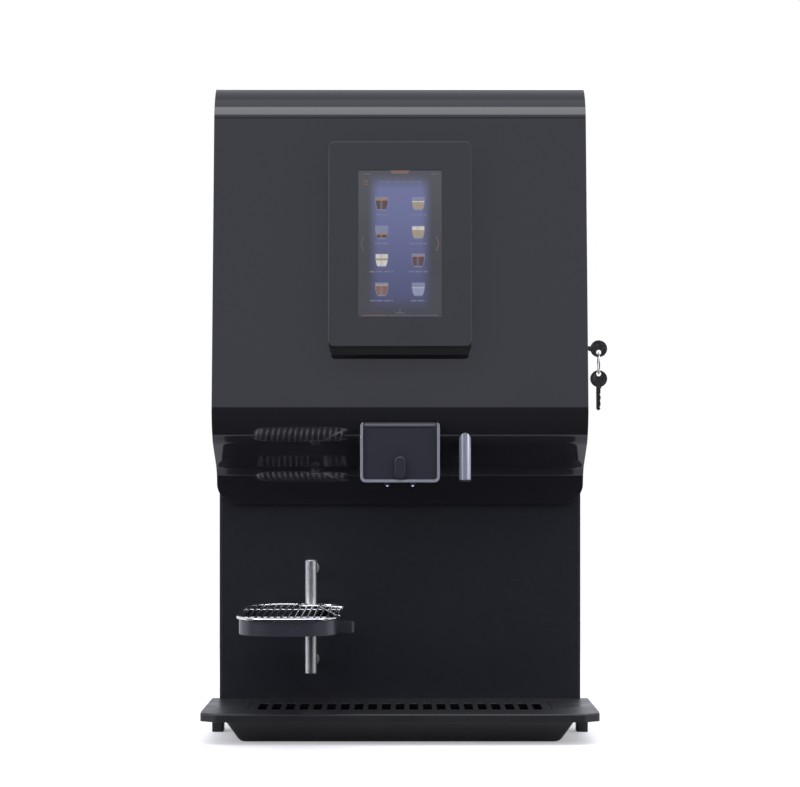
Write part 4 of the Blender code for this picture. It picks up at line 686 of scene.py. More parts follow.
def displayPrint():
    # generic drinks menu: eight glasses, name bars, arrows and a page marker
    face = -touch["proud"] + touch["recess"] - 0.0001
    deep = 0.00015

    def shape(points, colour):
        return tinted(plate("mark", [(x / 1000, z / 1000) for x, z in points], face - deep, face, "Y", 0),
                      colour)

    def bar(x, z, wide, tall, colour):
        return shape([(x - wide / 2, z - tall / 2), (x + wide / 2, z - tall / 2),
                      (x + wide / 2, z + tall / 2), (x - wide / 2, z + tall / 2)], colour)

    def cupSide(low, high, half, foot, tall):
        # right-hand side of a rounded glass between two shares of its height
        steps = [low + (high - low) * i / 5 for i in range(6)]
        return [(foot + (half - foot) * min(1, 1.7 * s) ** 0.5, tall * (s - 0.5)) for s in steps]

    def ringAt(x, z, side):
        return [(x - a, z + b) for a, b in side[::-1]] + [(x + a, z + b) for a, b in side]

    def glass(x, z, layers):
        # layers: (bottom, top, colour) as shares of the glass's height
        tall = 15.4
        made = [shape(ringAt(x, z, cupSide(0, 1, 7.9, 4.6, tall + 1)), (0.19, 0.21, 0.34))]
        for low, high, colour in layers:
            made.append(shape(ringAt(x, z, cupSide(low, high, 7.2, 4.3, tall)), colour))
            pale = tuple(0.72 * c + 0.075 for c in colour)
            made.append(shape(ringAt(x - 0.5, z, [(1.6, b) for _, b in cupSide(low, high, 7.2, 4.3, tall)]),
                              pale))
            made[-2].data.transform(Matrix.Translation((0, -0.00004, 0)))
            made[-1].data.transform(Matrix.Translation((0, -0.00008, 0)))
        return made

    def words(x, z, wide, tall, colour):
        # a line of small strokes that stands for lettering, with no readable letters
        made, at, i = [], -wide / 2, 0
        while at < wide / 2 - 0.6:
            step = (1.5, 1.1, 1.7, 0.9, 1.4, 1.2)[i % 6]
            if i % 7 != 5:
                made.append(bar(x + at + step / 2, z, step * 0.72, tall * (1, 0.8, 1, 0.9)[i % 4], colour))
            at, i = at + step, i + 1
        return made

    espresso, milk, cream = (0.07, 0.032, 0.022), (0.36, 0.28, 0.18), (0.62, 0.60, 0.56)
    cocoa, water, crema = (0.20, 0.085, 0.06), (0.25, 0.29, 0.42), (0.34, 0.16, 0.07)
    drinks = (((0.05, 0.74, espresso), (0.74, 0.90, crema)),
              ((0.05, 0.62, milk), (0.62, 0.70, cream)),
              ((0.05, 0.30, espresso), (0.30, 0.42, crema)),
              ((0.05, 0.68, milk), (0.68, 0.96, cream)),
              ((0.05, 0.50, cream), (0.50, 0.66, milk), (0.66, 0.98, cream)),
              ((0.05, 0.78, (0.075, 0.030, 0.040)), (0.78, 0.88, crema)),
              ((0.05, 0.76, cocoa), (0.76, 0.88, milk)),
              ((0.05, 0.60, water), (0.60, 0.68, (0.40, 0.44, 0.55))))
    labels = (14, 21, 16, 21, 29, 22, 28, 18)
    made = []
    for i, (layers, wide) in enumerate(zip(drinks, labels)):
        x, z = (-22 if i % 2 == 0 else 22), (49, 13.8, -20.6, -56)[i // 2]
        made += glass(x, z, layers)
        made += words(x, z - 13.8, wide, 2.0, (0.17, 0.18, 0.27))
    copper, grey = (0.20, 0.095, 0.05), (0.085, 0.09, 0.11)
    made.append(shape([(-12, 90), (-9.5, 85.8), (9.5, 85.8), (12, 90)], (0.17, 0.10, 0.07)))
    made += words(0, 75.5, 50, 3.6, (0.13, 0.14, 0.21))
    made += [bar(-41.5, 77.5 - 2.4 * i, 6, 0.8, copper) for i in range(3)]
    made += [bar(x, 85.5, 9, 1.5, grey) for x in (-40, 42)]
    for side, colour in ((-1, grey), (1, copper)):
        for end in (-1, 1):
            made.append(shape([(side * 43.2, end * 9.0), (side * 46.6, 0), (side * 47.5, 0),
                               (side * 44.1, end * 9.0)],
                              colour))
    made += [bar(x, -87.6, 29, 0.9, colour) for x, colour in ((-30.5, copper), (0.5, grey), (31.5, grey))]
    made.append(shape([(-1.6, -82.2), (1.6, -82.2), (0, -80.6)], (0.16, 0.16, 0.20)))
    made.append(bar(0, -84.8, 11, 1.3, grey))
    s = Shader("menuPrint", (0.012, 0.012, 0.016), 0.10)
    printed = s.node("ShaderNodeAttribute", {"attribute_name": "tint"}, output="Color")
    s.set(glow=s.mix(s.noise(0.0012, 1).ramp(0.3, 0.7) * 0.18, printed, (0.03, 0.03, 0.05)),
          glowStrength=0.92)
    return own(onSlope(joined("menuPrint", *made)), "door", s.material, "screen_glass")


def touchUnit():
    face = -touch["proud"]
    half, tall = touch["half"], touch["tall"]
    front = block("plateFront", (-half, face, -tall), (half, face + touch["plate"], tall), touch["corner"],
                  "Y", 0.0010)
    inner = touch["screenHalf"] + 0.0004, touch["screenTall"] + 0.0004
    cutOut(front, block("window", (-inner[0], face - 0.01, -inner[1]), (inner[0], face + 0.0023, inner[1]),
                        0.001, "Y", 0))
    smooth(front, 35)
    own(onSlope(joined("touchPlate", front)), "door", touchBlack, "gloss_black", "touch_housing")
    inset = 0.010
    rear = block("rear", (-half + inset, face + touch["plate"] - 0.0006, -tall + inset),
                 (half - inset, -0.0004, tall - inset), 0.004, "Y", 0.0005)
    hook = plate("hook", [(face + 0.0020, -tall + 0.002), (face + 0.0024, -tall - 0.0004),
                          (face + 0.0068, -tall - 0.0088),
                          (face + 0.0100, -tall - 0.0088), (face + 0.0100, -tall + 0.002)],
                 -half + 0.0028, half - 0.0028, "X", 0)
    pickOnly(hook)
    bpy.ops.object.mode_set(mode="EDIT")
    selectIn(hook, "EDGE", lambda e: all(v.co.z < -tall - 0.008 for v in e.verts)
             and abs(e.verts[0].co.y - e.verts[1].co.y) > 0.001)
    bpy.ops.mesh.bevel(offset=0.0045, segments=6, affect="EDGES")
    bpy.ops.object.mode_set(mode="OBJECT")
    rounded(hook, 0.0004, 2, 40)
    own(onSlope(joined("touchBody", rear, hook)), "door", mouldBlack, "gloss_black")
    glass = block("glass", (-touch["screenHalf"], face + touch["recess"], -touch["screenTall"]),
                  (touch["screenHalf"], face + 0.0020, touch["screenTall"]), 0.0008, "Y", 0.0001)
    own(onSlope(joined("displayGlass", glass)), "door", displayGlow(), "screen_glass", "screen")


def displayGlow():
    # lit panel: blue in the middle, fading to warm grey at the sides
    s = Shader("displayGlass", (0.012, 0.012, 0.016), 0.05)
    depth = door["back"] - depthAt(touch["centreZ"]) - touch["proud"]
    spot = s.place((0, depth, touch["centreZ"]))
    across = s.node("ShaderNodeMath", {"operation": "ABSOLUTE"}, {0: s.part(spot, "X")})
    up = s.part(spot, "Z")
    off = s.node("ShaderNodeMath", {"operation": "ABSOLUTE"}, {0: up + (-0.004)})
    blue = (1 - across.ramp(0.024, 0.040)) * (1 - off.ramp(0.062, 0.086))
    tone = s.mix(up.ramp(-0.08, 0.075), (0.042, 0.050, 0.132), (0.118, 0.132, 0.285))
    grey = s.mix(up.ramp(-0.02, 0.085), (0.022, 0.023, 0.027), (0.045, 0.047, 0.050))
    dots = s.noise(0.0007, 1)
    lit = s.mix(blue, grey, tone)
    s.set(glow=s.mix(dots.ramp(0.35, 0.65) * 0.12, lit, (0.01, 0.01, 0.02)), glowStrength=1.0,
          roughness=s.noise(0.03, 3).ramp(0.4, 0.7, 0.04, 0.09))
    return s.material


def lacqueredTouch():
    s = Shader("touchLacquer", (0.0100, 0.0100, 0.0125), 0.10)
    s.set(roughness=s.noise(0.05, 4).ramp(0.45, 0.72, 0.09, 0.14))
    return s.bump(s.noise(0.004, 2), 0.00002, 0.3).material


touchBlack = lacqueredTouch()
touchUnit()
displayPrint()
print("touch unit done")


def dispensingHead():
    size = {"half": 0.04785, "bottom": 0.3096, "top": 0.383, "face": -0.1068, "rear": -0.031,
            "corner": 0.0065, "trim": 0.0032, "nozzles": 0.0155}
    half, bottom, top, face = size["half"], size["bottom"], size["top"], size["face"]
    body = block("headBody", (-half + 0.0006, face, bottom + 0.0006), (half - 0.0006, size["rear"], top),
                 size["corner"], "Y", 0.0)
    pickOnly(body)
    bpy.ops.object.mode_set(mode="EDIT")
    selectIn(body, "EDGE",
             lambda e: all(v.co.y < face + 1e-5 and v.co.z > top - size["corner"] - 1e-4 for v in e.verts))
    bpy.ops.mesh.bevel(offset=0.0075, segments=8, affect="EDGES")
    bpy.ops.object.mode_set(mode="OBJECT")
    cutOut(body, doorSolid("doorRoom", -0.06, 0.06, 0.0003),
           block("duct", (-0.0298, -0.085, 0.3150), (0.0298, -0.02, 0.3238), edge=0))
    smooth(body, 40)
    pill = block("pill", (-0.0068, face - 0.0068, bottom + 0.0040), (0.0068, face + 0.002, 0.3410), 0.0066,
                 "Y", 0.0016)
    nozzles = []
    for side in (-1, 1):
        x = side * size["nozzles"]
        nozzles.append(turned("nozzle", [(0.0035, 0), (0.0035, -0.0058), (0.0027, -0.0064), (0.0027, -0.0072),
                                         (0.0018, -0.0072), (0.0018, 0)], (x, -0.072, bottom + 0.0027),
                              sides=32))
    own(joined("dispensingHead", body, pill, *nozzles), "door", headBlack, "gloss_black", "dispensing_head")
    ring = block("headFrame", (-half, face - 0.0032, bottom), (half, face - 0.0002, top), size["corner"],
                 "Y", 0.0)
    t = size["trim"]
    cutOut(ring, block("window", (-half + t, face - 0.01, bottom + t), (half - t, face + 0.01, top + 0.03),
                       0.0034, "Y", 0))
    rounded(ring, 0.0011, 4, 40)
    own(smooth(ring, 40), "door", trimSteel, "chrome", "head_trim")
    # painted glint: the two nozzle tips glow light blue in place of the glints seen on them; they are no
    # lamps
    s = Shader("nozzleGlintGlow", (0.20, 0.24, 0.40), 0.2)
    s.set(glow=s.mix(s.noise(0.001, 1).ramp(0.3, 0.7), (0.38, 0.42, 0.80), (0.52, 0.56, 0.90)),
          glowStrength=1.0)
    emitters = [turned("emitter", [(0.0016, 0), (0.0012, -0.0010), (0.0004, -0.0014)],
                    (side * size["nozzles"], -0.0745, bottom - 0.0045),
                    sides=20) for side in (-1, 1)]
    own(joined("nozzleGlintTips", *emitters), "door", s.material, "white_plastic")


def waterSpout():
    spot = {"x": 0.0787, "y": -0.0895, "bottom": 0.312, "top": 0.374, "radius": 0.0073}
    x, y = spot["x"], spot["y"]
    pipe = turned("waterSpout", [(0.0030, 0.020), (0.0030, 0.0006), (0.0036, 0), (0.0066, 0),
                                 (spot["radius"], 0.0008),
                                 (spot["radius"], spot["top"] - spot["bottom"])], (x, y, spot["bottom"]),
                  sides=64)
    cutOut(pipe, doorSolid("doorRoom", x - 0.03, x + 0.03, 0.0003))
    stem = rod("stem", (x, -0.080, 0.345), (x, -0.080, 0.3755), 0.0045)
    own(smooth(joined("waterSpout", pipe, stem), 40), "door", trimSteel, "chrome", "hot_water_spout")
    foot = turned("spoutCollar", [(0.0064, 0), (0.0074, -0.0003), (0.0074, -0.0014), (0.0066, -0.0018),
                                  (0.0042, -0.0018),
                                  (0.0042, 0)], (x, y, spot["bottom"] - 0.0001), sides=48)
    own(foot, "door", softRubber, "matte_black")


dispensingHead()
waterSpout()
print("outlets done")


# ---- cup platform: rod, clamp, dish and wire rack
stand = {"x": -0.109, "y": -0.058, "radius": 0.00715, "shiftX": 0.0195, "half": 0.0595,
         "rear": -0.045, "front": -0.2854, "corner": 0.046, "hub": 0.013}


def platformRing(inset, steps=16):
    # plan outline of the platform, moved inwards
    x, half, corner = stand["x"] - stand["shiftX"], stand["half"] - inset, stand["corner"] - inset
    rear, front = stand["rear"] - inset, stand["front"] + inset
    points = []
    for cx, cy, start in ((x + half - corner, rear - corner, 0), (x - half + corner, rear - corner, 90),
                          (x - half + corner, front + corner, 180), (x + half - corner, front + corner, 270)):
        points += arcPoints((cx, cy), corner, start, start + 90, steps)
    return points


def cupRod():
    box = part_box("cup_rod")
    x, y = stand["x"], stand["y"]
    bar = turned("guideRod", [(0.0055, 0), (stand["radius"], 0.0014),
                              (stand["radius"], box[1].z - box[0].z - 0.0014),
                              (0.0055, box[1].z - box[0].z)], (x, y, box[0].z), sides=72)
    rounded(bar, 0.0003, 3, 20)
    rear = box[1].y
    pieces = [bar]
    for z in (0.087, 0.2005):
        pieces.append(rod("standoff", (x, y, z), (x, rear, z), 0.0055, 0.0002))
        pieces.append(rod("washer", (x, rear - 0.0022, z), (x, rear, z), 0.0085, 0.0005))
    own(smooth(joined("guideRod", *pieces), 40), "cabinet", steelRod, "chrome", "cup_rod")


def rodClamp():
    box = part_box("platform_clamp")
    x, y = stand["x"], stand["y"]
    ring = turned("clampRing", [(0.0128, 0), (0.0135, 0.0007), (0.0135, box[1].z - box[0].z - 0.0007),
                                (0.0128, box[1].z - box[0].z)], (x, y, box[0].z), sides=64)
    cutOut(ring, rod("bore", (x, y, 0.12), (x, y, 0.15), stand["radius"] + 0.0003, 0, 64),
           block("slit", (x - 0.0005, y, 0.12), (x + 0.0005, y + 0.02, 0.15), edge=0),
           rod("screwHole", (x + 0.002, y + 0.0103, 0.1348), (x + 0.02, y + 0.0103, 0.1348), 0.0019, 0, 24))
    screw = rod("screw", (x + 0.003, y + 0.0103, 0.1348), (x + 0.0075, y + 0.0103, 0.1348), 0.0017, 0.0002,
                24)
    cutOut(screw, rod("hex", (x + 0.006, y + 0.0103, 0.1348), (x + 0.009, y + 0.0103, 0.1348), 0.0009, 0, 6))
    own(smooth(ring, 40), "platform_clamp", mouldBlack, "matte_black", "platform_clamp")
    own(screw, "platform_clamp", brightSteel, "chrome")


def dish():
    low = 0.1390
    x = stand["x"]
    body = fromNode("cup_platform", 0.0007)
    ribs = []
    for k in range(1, 5):
        cy = stand["rear"] - 0.045 * k - 0.010
        ribs.append(block("rib", (x - stand["shiftX"] - stand["half"] + 0.006, cy - 0.0008, low + 0.0015),
                          (x - stand["shiftX"] + stand["half"] - 0.006, cy + 0.0008, low + 0.0060),
                          edge=0.0003))
    own(joined("platformDish", body, *ribs), "cup_platform", dishBlack, "matte_black", "cup_platform")


def wireRack():
    # bent wire frame with lengthwise bars lying on two cross wires
    frameWire, barWire, z = 0.0018, 0.0011, 0.1581
    x, y = stand["x"], stand["y"]
    line = platformRing(frameWire, 8)
    gap = stand["hub"] + 0.0022
    ring = [(a, b, z) for a, b in line]
    # the frame dips round the hub
    rearY = stand["rear"] - frameWire
    dip = [(a, b, z) for a, b in arcPoints((x, y), gap, 45, -225, 14)]
    keep = [p for p in ring if not (p[1] > rearY - 0.012 and abs(p[0] - x) < gap + 0.0035)]
    start = max(range(len(keep)), key=lambda i: (Vector(keep[i]) - Vector(keep[i - 1])).length)
    keep = keep[start:] + keep[:start]
    if (Vector(keep[-1]) - Vector(dip[0])).length > (Vector(keep[-1]) - Vector(dip[-1])).length:
        dip.reverse()
    made = [bent("rack", keep + dip, frameWire, 20, 3, True)]
    middle, half, corner = x - stand["shiftX"], stand["half"], stand["corner"]
    count = 15
    for i in range(count):
        across = (i - (count - 1) / 2) * (2 * half - 0.014) / (count - 1)
        into = max(0, abs(across) - (half - corner))
        reach = corner - math.sqrt(corner ** 2 - into ** 2)
        bx = middle + across
        rear = stand["rear"] - reach - frameWire
        if abs(bx - x) < gap:
            rear = y - math.sqrt(gap ** 2 - (bx - x) ** 2)
        made.append(rod("bar", (bx, rear, z), (bx, stand["front"] + reach + frameWire, z), barWire, 0, 20))
    for cy in (stand["front"] + 0.060, stand["rear"] - 0.060):
        made.append(rod("crossWire", (middle - half + 0.0022, cy, z - 0.0020),
                        (middle + half - 0.0022, cy, z - 0.0020), 0.0009, 0, 20))
        for side in (-1, 1):
            bpy.ops.object.select_all(action="DESELECT")
            bpy.ops.mesh.primitive_uv_sphere_add(segments=20, ring_count=12, radius=0.0019,
                                                 location=(middle + side * (half - 0.0019), cy, z - 0.0002))
            made.append(smooth(named("bead"), 60))
    own(joined("wireRack", *made), "cup_grid", brightSteel, "chrome", "cup_grid")


cupRod()
rodClamp()
dish()
wireRack()
print("platform done")


# ---- drip tray and grille
tray = {"top": 0.038, "rim": 0.010, "front": -0.169, "half": 0.23675, "rearHalf": 0.234,
        "chamfer": (0.019, 0.013), "bowlHalf": (0.212, 0.191), "bowlFront": (-0.150, -0.130),
        "bowlRear": -0.012, "wall": 0.0025}


def bowl(name, wall, floor, top):
    wide, narrow = tray["bowlHalf"][0] - wall, tray["bowlHalf"][1] - wall
    near, far = tray["bowlFront"][0] + wall, tray["bowlFront"][1] + wall
    rear = tray["bowlRear"] - wall
    solid = block(name, (-wide, near, floor), (wide, rear, top), edge=0)
    for v in solid.data.vertices:
        if v.co.z < (floor + top) / 2:
            v.co.x = math.copysign(narrow, v.co.x)
            v.co.y = far if v.co.y < -0.05 else v.co.y
    if wall == 0:
        rounded(solid, 0.0055, 5, 30)
    return solid


def dripTray():
    top, rim, front = tray["top"], tray["rim"], tray["front"]
    half, rearHalf, (cx, cy) = tray["half"], tray["rearHalf"], tray["chamfer"]
    slab = plate("trayRim", [(-rearHalf, 0), (-half, front + cy), (-half + cx, front), (half - cx, front),
                             (half, front + cy), (rearHalf, 0)], top - rim, top, "Z", 0)
    pickOnly(slab)
    bpy.ops.object.mode_set(mode="EDIT")
    selectIn(slab, "EDGE",
             lambda e: abs(e.verts[0].co.z - e.verts[1].co.z) > 0.005 and e.verts[0].co.y < -0.05)
    bpy.ops.mesh.bevel(offset=0.0030, segments=5, affect="EDGES")
    selectIn(slab, "EDGE", lambda e: all(v.co.z > top - 1e-5 and v.co.y < -0.0001 for v in e.verts))
    bpy.ops.mesh.bevel(offset=0.0022, segments=5, affect="EDGES")
    bpy.ops.object.mode_set(mode="OBJECT")
    body = bowl("trayBowl", 0, 0.0, top - rim / 2)
    step = slab.modifiers.new("add", "BOOLEAN")
    step.operation, step.object, step.solver = "UNION", body, "EXACT"
    applyAll(slab)
    bpy.data.objects.remove(body)
    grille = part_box("drip_grille")
    seat = block("seat", (grille[0].x - 0.0006, grille[0].y - 0.0006, grille[0].z - 0.0004),
                 (grille[1].x + 0.0006, grille[1].y + 0.0006, top + 0.01), 0.003, "Z", 0)
    window = block("window", (grille[0].x + 0.005, grille[0].y + 0.005, top - 0.012),
                   (grille[1].x - 0.005, grille[1].y - 0.005, top + 0.01), 0.004, "Z", 0)
    cutOut(slab, window, seat, bowl("room", tray["wall"], tray["wall"], top - 0.006))
    groove = 0.0012
    for y in (front + 0.012, -0.024):
        cutOut(slab, block("groove", (-half + 0.020, y, top - 0.0006),
                           (half - 0.020, y + groove, top + 0.01), edge=0))
    rounded(slab, 0.0004, 2, 50)
    extra = []
    for side in (-1, 1):
        a, b = sorted((side * 0.218, side * 0.232))
        extra.append(block("trayFoot", (a, -0.034, 0.0), (b, -0.010, top - rim + 0.002), 0.002, "Z", 0.0005))
        extra.append(block("pad", (side * 0.150 - 0.014, -0.095, 0.0), (side * 0.150 + 0.014, -0.060, 0.003),
                           0.003, "Z", 0.0004))
    tongue = block("tongue", (-0.080, -0.014, 0), (0.080, 0.012, 0.003), 0.004, "Z", 0.0005)
    own(smooth(joined("dripTray", slab, tongue, *extra), 40), "drip_tray", trayBlack, "matte_black",
        "drip_tray")


def dripGrille():
    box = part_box("drip_grille")
    grille = plate("dripGrille", [(box[0].x, box[0].y), (box[1].x, box[0].y), (box[1].x, box[1].y),
                                  (box[0].x, box[1].y)], box[0].z, box[1].z, "Z", 0)
    bars = 21
    pitch = (box[1].x - box[0].x - 0.016) / bars
    slots = []
    for i in range(bars):
        x = box[0].x + 0.008 + pitch * (i + 0.5)
        slots.append(block("slot", (x - pitch * 0.32, box[0].y + 0.010, 0.03),
                           (x + pitch * 0.32, box[1].y - 0.010, 0.045),
                           0.0028, "Z", 0, 5))
    cutOut(grille, joined("slots", *slots))
    rounded(grille, 0.0005, 3, 40)
    own(smooth(grille, 40), "drip_grille", grilleBlack, "black_sheet", "drip_grille")


grilleBlack = powderCoat("grilleCoat", (0.0125, 0.0125, 0.0145), 0.38)
dripTray()
dripGrille()
print("tray done")


# ---- cabinet sheets, cover and feet
def panHead(spot, axis="-Y", radius=0.0032, tall=0.0018):
    # pan-head screw with a cross recess
    head = turned("panHead", [(radius, 0), (radius, tall * 0.25), (radius * 0.86, tall * 0.72),
                              (radius * 0.5, tall)],
                  axis=axis, sides=32)
    facing = {"-Y": Vector((0, -1, 0)), "Y": Vector((0, 1, 0)), "X": Vector((1, 0, 0)),
              "-X": Vector((-1, 0, 0)),
              "Z": Vector((0, 0, 1))}[axis]
    size = Vector([0.0004 if not abs(f) else tall for f in facing])
    for turn in range(2):
        arm = Vector(size)
        sides = [i for i in range(3) if not abs(facing[i])]
        arm[sides[turn]] = radius * 0.62
        middle = facing * tall
        cutOut(head, block("recess", middle - arm, middle + arm, edge=0))
    head.data.transform(Matrix.Translation(spot))
    return head


def sidePanels():
    for side, node in ((-1, "side_panel_left"), (1, "side_panel_right")):
        panel = fromNode(node, 0.0006)
        own(panel, "cabinet", sheetBlack, "black_sheet", node)
    heads = []
    for side in (-1, 1):
        for z in (0.06, 0.40, 0.74):
            heads.append(panHead((side * 0.2125, 0.3500, z), "Y", tall=0.0004 + 0.0006))
    for head in heads:
        head.data.transform(Matrix.Translation((0, -0.0012, 0)))
    own(joined("rearScrews", *heads), "cabinet", steelRod, "chrome")


def cover():
    lid = fromNode("top_cover", 0.0008)
    own(lid, "top_cover", sheetBlack, "black_sheet", "top_cover")
    strips = []
    for x0, x1 in ((-0.162, -0.013), (0.010, 0.159)):
        strips.append(block("coverStrip", (x0, 0.0030, 0.7716), (x1, 0.0120, 0.7760), 0, "Y", 0.0004))
    own(joined("coverStrips", *strips), "top_cover", softRubber, "rubber")


def frontPanel():
    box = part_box("front_panel")
    panel = block("frontSheet", box[0], box[1], edge=0.0004)
    own(panel, "cabinet", frontCoat, "black_sheet", "front_panel")


def lowerSheets():
    for node in ("base_plate", "back_panel", "inner_wall"):
        finish = {"base_plate": steelPlain, "back_panel": sheetBlack, "inner_wall": wallSteel}[node]
        slot = "steel_sheet"
        own(fromNode(node, 0.0003), "cabinet", finish, slot, node)
    screws = []
    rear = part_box("back_panel")[1].y
    for x in (-0.205, 0, 0.205):
        for z in (0.045, 0.30, 0.575, 0.755):
            screws.append(panHead((x, rear - 0.0002, z), "Y", tall=0.0015))
    own(joined("backScrews", *screws), "cabinet", steelRod, "chrome")


def rubberFeet():
    for node in ("foot_front_left", "foot_front_right", "foot_rear_left", "foot_rear_right"):
        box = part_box(node)
        x, y = (box[0].x + box[1].x) / 2, (box[0].y + box[1].y) / 2
        foot = turned(node + "Pad", [(0.0140, box[1].z), (0.0140, 0.0125), (0.0130, 0.0115), (0.0140, 0.0105),
                                     (0.0142, 0.0075), (0.0161, 0.0060), (0.0161, 0.0012), (0.0150, 0)],
                      (x, y, 0), sides=48, edge=0.0003)
        own(foot, "cabinet", softRubber, "rubber", node)


steelPlain = brushedSteel("galvanised", 0.55, 0.42, (1, 0.05, 1))
wallSteel = satinPlastic("warmSheet", (0.26, 0.235, 0.21), 0.45)
frontCoat = powderCoat("frontCoat", (0.0080, 0.0084, 0.0125), 0.36)
sidePanels()
cover()
frontPanel()
lowerSheets()
rubberFeet()
print("cabinet done")


# ---- lock and keys
def lockParts():
    y, z = -0.0266, 0.473
    barrelBox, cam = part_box("lock_barrel"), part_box("lock_cam")
    x0, x1 = barrelBox[0].x, barrelBox[1].x
    barrel = turned("lockBarrel", [(0.0052, x0), (0.0085, x0), (0.0085, x1 - 0.0033), (0.0127, x1 - 0.0033),
                                   (0.0127, x1 - 0.0012), (0.0110, x1 - 0.0002), (0.0084, x1),
                                   (0.0070, x1 - 0.0008),
                                   (0.0060, x1 - 0.0010), (0.0052, x1 - 0.0010), (0.0052, x0)], (0, y, z),
                    "X", 64,
                    hollow=True)
    own(rounded(barrel, 0.0002, 2, 30), "door", brightSteel, "chrome", "lock_barrel")
    core = rod("core", (cam[0].x, y, z), (cam[1].x, y, z), 0.0048, 0.0003)
    boss = rod("boss", (cam[0].x + 0.0015, y, z), (cam[0].x + 0.0045, y, z), 0.008, 0.0003)
    arm = block("arm", (0.2119, y - 0.0029, z), (0.2149, y + 0.0029, cam[1].z), 0.0012, "X", 0.0004)
    cutOut(core, block("keyway", (0.2214, y - 0.0011, z - 0.0040), (0.23, y + 0.0011, z + 0.0040), edge=0))
    nut = rod("nut", (cam[0].x - 0.0006, y, z), (cam[0].x + 0.0016, y, z), 0.0062, 0.0003, 6)
    own(joined("lockCam", core, boss, arm, nut), "lock", keyNickel, "chrome", "lock_cam")


def keyShape(name, shank):
    # bow about the origin in the XZ plane, blade along -X
    thick, bow = 0.0020, 0.0105
    outline = arcPoints((0, 0), bow, 0, 360, 44)[:-1]
    head = plate(name, outline, -thick / 2, thick / 2, "Y", 0.0)
    blade = [(-shank, 0.0006), (-shank + 0.002, 0.0030), (-0.0085, 0.0032), (-0.0085, -0.0032),
             (-0.0115, -0.0032), (-0.0125, -0.0022)]
    cuts = (0.0012, 0.0024, 0.0008, 0.0020, 0.0010, 0.0026)
    run = (shank - 0.0160) / len(cuts)
    for i, depth in enumerate(cuts):
        start = -0.0135 - run * i
        blade += [(start, -0.0022), (start - run * 0.35, -0.0030 + depth * 0.6),
                  (start - run * 0.6, -0.0030 + depth * 0.6)]
    blade += [(-shank + 0.002, -0.0022)]
    shaft = plate("blade", blade, -thick * 0.4, thick * 0.4, "Y", 0)
    groove = block("groove", (-shank + 0.002, thick * 0.2, 0.0004), (-0.010, thick, 0.0014), edge=0)
    cutOut(shaft, groove)
    step = head.modifiers.new("add", "BOOLEAN")
    step.operation, step.object, step.solver = "UNION", shaft, "EXACT"
    applyAll(head)
    bpy.data.objects.remove(shaft)
    return head


def keys():
    y, z = -0.0266, 0.473
    bowX, ringR, wire = 0.24575, 0.0133, 0.0008
    first = keyShape("key", bowX - 0.2234)
    cutOut(first, rod("hole", (0, -0.01, -0.0045), (0, 0.01, -0.0045), 0.0030, 0, 32))
    rounded(first, 0.00035, 2, 40)
    first.data.transform(Matrix.Translation((bowX, y, z)))
    own(smooth(first, 40), "lock", keyNickel, "chrome", "key")
    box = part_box("spare_key")
    second = keyShape("spareKey", box[1].z - box[0].z - 0.0105)
    cutOut(second, rod("hole", (0.0060, -0.01, 0), (0.0060, 0.01, 0), 0.0030, 0, 32))
    rounded(second, 0.00035, 2, 40)
    second.data.transform(Matrix.Translation((bowX, y, 0.4359)) @ Matrix.Rotation(-math.pi / 2, 4, "Y"))
    own(smooth(second, 40), "spare_key", keyNickel, "chrome", "spare_key")
    bpy.ops.object.select_all(action="DESELECT")
    bpy.ops.mesh.primitive_torus_add(major_radius=ringR, minor_radius=wire, major_segments=96,
                                     minor_segments=16,
                                     location=(bowX, y, 0.4685 - ringR), rotation=(0, math.pi / 2, 0))
    own(smooth(named("keyRing"), 60), "key_ring", brightSteel, "chrome", "key_ring")


lockParts()
keys()
print("lock done")


# ---- powder side: hoppers, lids, elbows, conveyors
def milkyPlastic(name, tone, powder=True):
    # half-clear moulding: brighter rims, a painted highlight band inside each side edge and painted shade
    # along the side edges, a darker band where the powder lies, white stand behind
    s = Shader(name, tone, 0.34)
    spot = s.place()
    up, deep = s.part(spot, "Z"), s.part(spot, "Y")
    cloud = s.noise(0.06, 3, (1, 1, 0.4))
    tint = s.mix(cloud.ramp(0.35, 0.75) * 0.35, tone, tuple(c * 0.88 for c in tone))
    if powder:
        heap = s.noise(0.05, 2).ramp(0.2, 0.8, -0.0012, 0.0012) + up
        band = heap.ramp(0.563, 0.568) * (1 - heap.ramp(0.598, 0.603))
        tint = s.mix(band * 0.78, tint, (0.335, 0.345, 0.365))
        tint = s.mix((1 - up.ramp(0.545, 0.568)) * 0.35, tint, (0.60, 0.61, 0.63))
        tint = s.mix(up.ramp(0.70, 0.775) * 0.4, tint, (0.56, 0.59, 0.65))
        side = s.node("ShaderNodeMath", {"operation": "ABSOLUTE"}, {0: s.part(spot, "X")}) + (-0.0946)
        rim = s.node("ShaderNodeMath", {"operation": "ABSOLUTE"}, {0: side})
        # painted highlight: a light band just inside each side edge of the hopper
        glow = rim.ramp(0.0775, 0.0830) * (1 - rim.ramp(0.0850, 0.0878))
        tint = s.mix(glow * 0.25, tint, (0.64, 0.67, 0.71))
        # painted shade: darker along the side edges themselves
        tint = s.mix(rim.ramp(0.0865, 0.0905) * 0.6, tint, (0.40, 0.42, 0.46))
        tint = s.mix(deep.ramp(0.026, 0.032), tint, (0.86, 0.87, 0.89))
    edgeOn = s.node("ShaderNodeLayerWeight", {}, {"Blend": 0.35}, output="Facing")
    s.set(colour=s.mix(edgeOn.ramp(0.5, 1.0) * 0.5, tint, (0.72, 0.74, 0.78)),
          roughness=s.noise(0.012, 3).ramp(0.4, 0.7, 0.28, 0.40))
    return s.bump(s.noise(0.0015, 2), 0.00005, 0.35).material


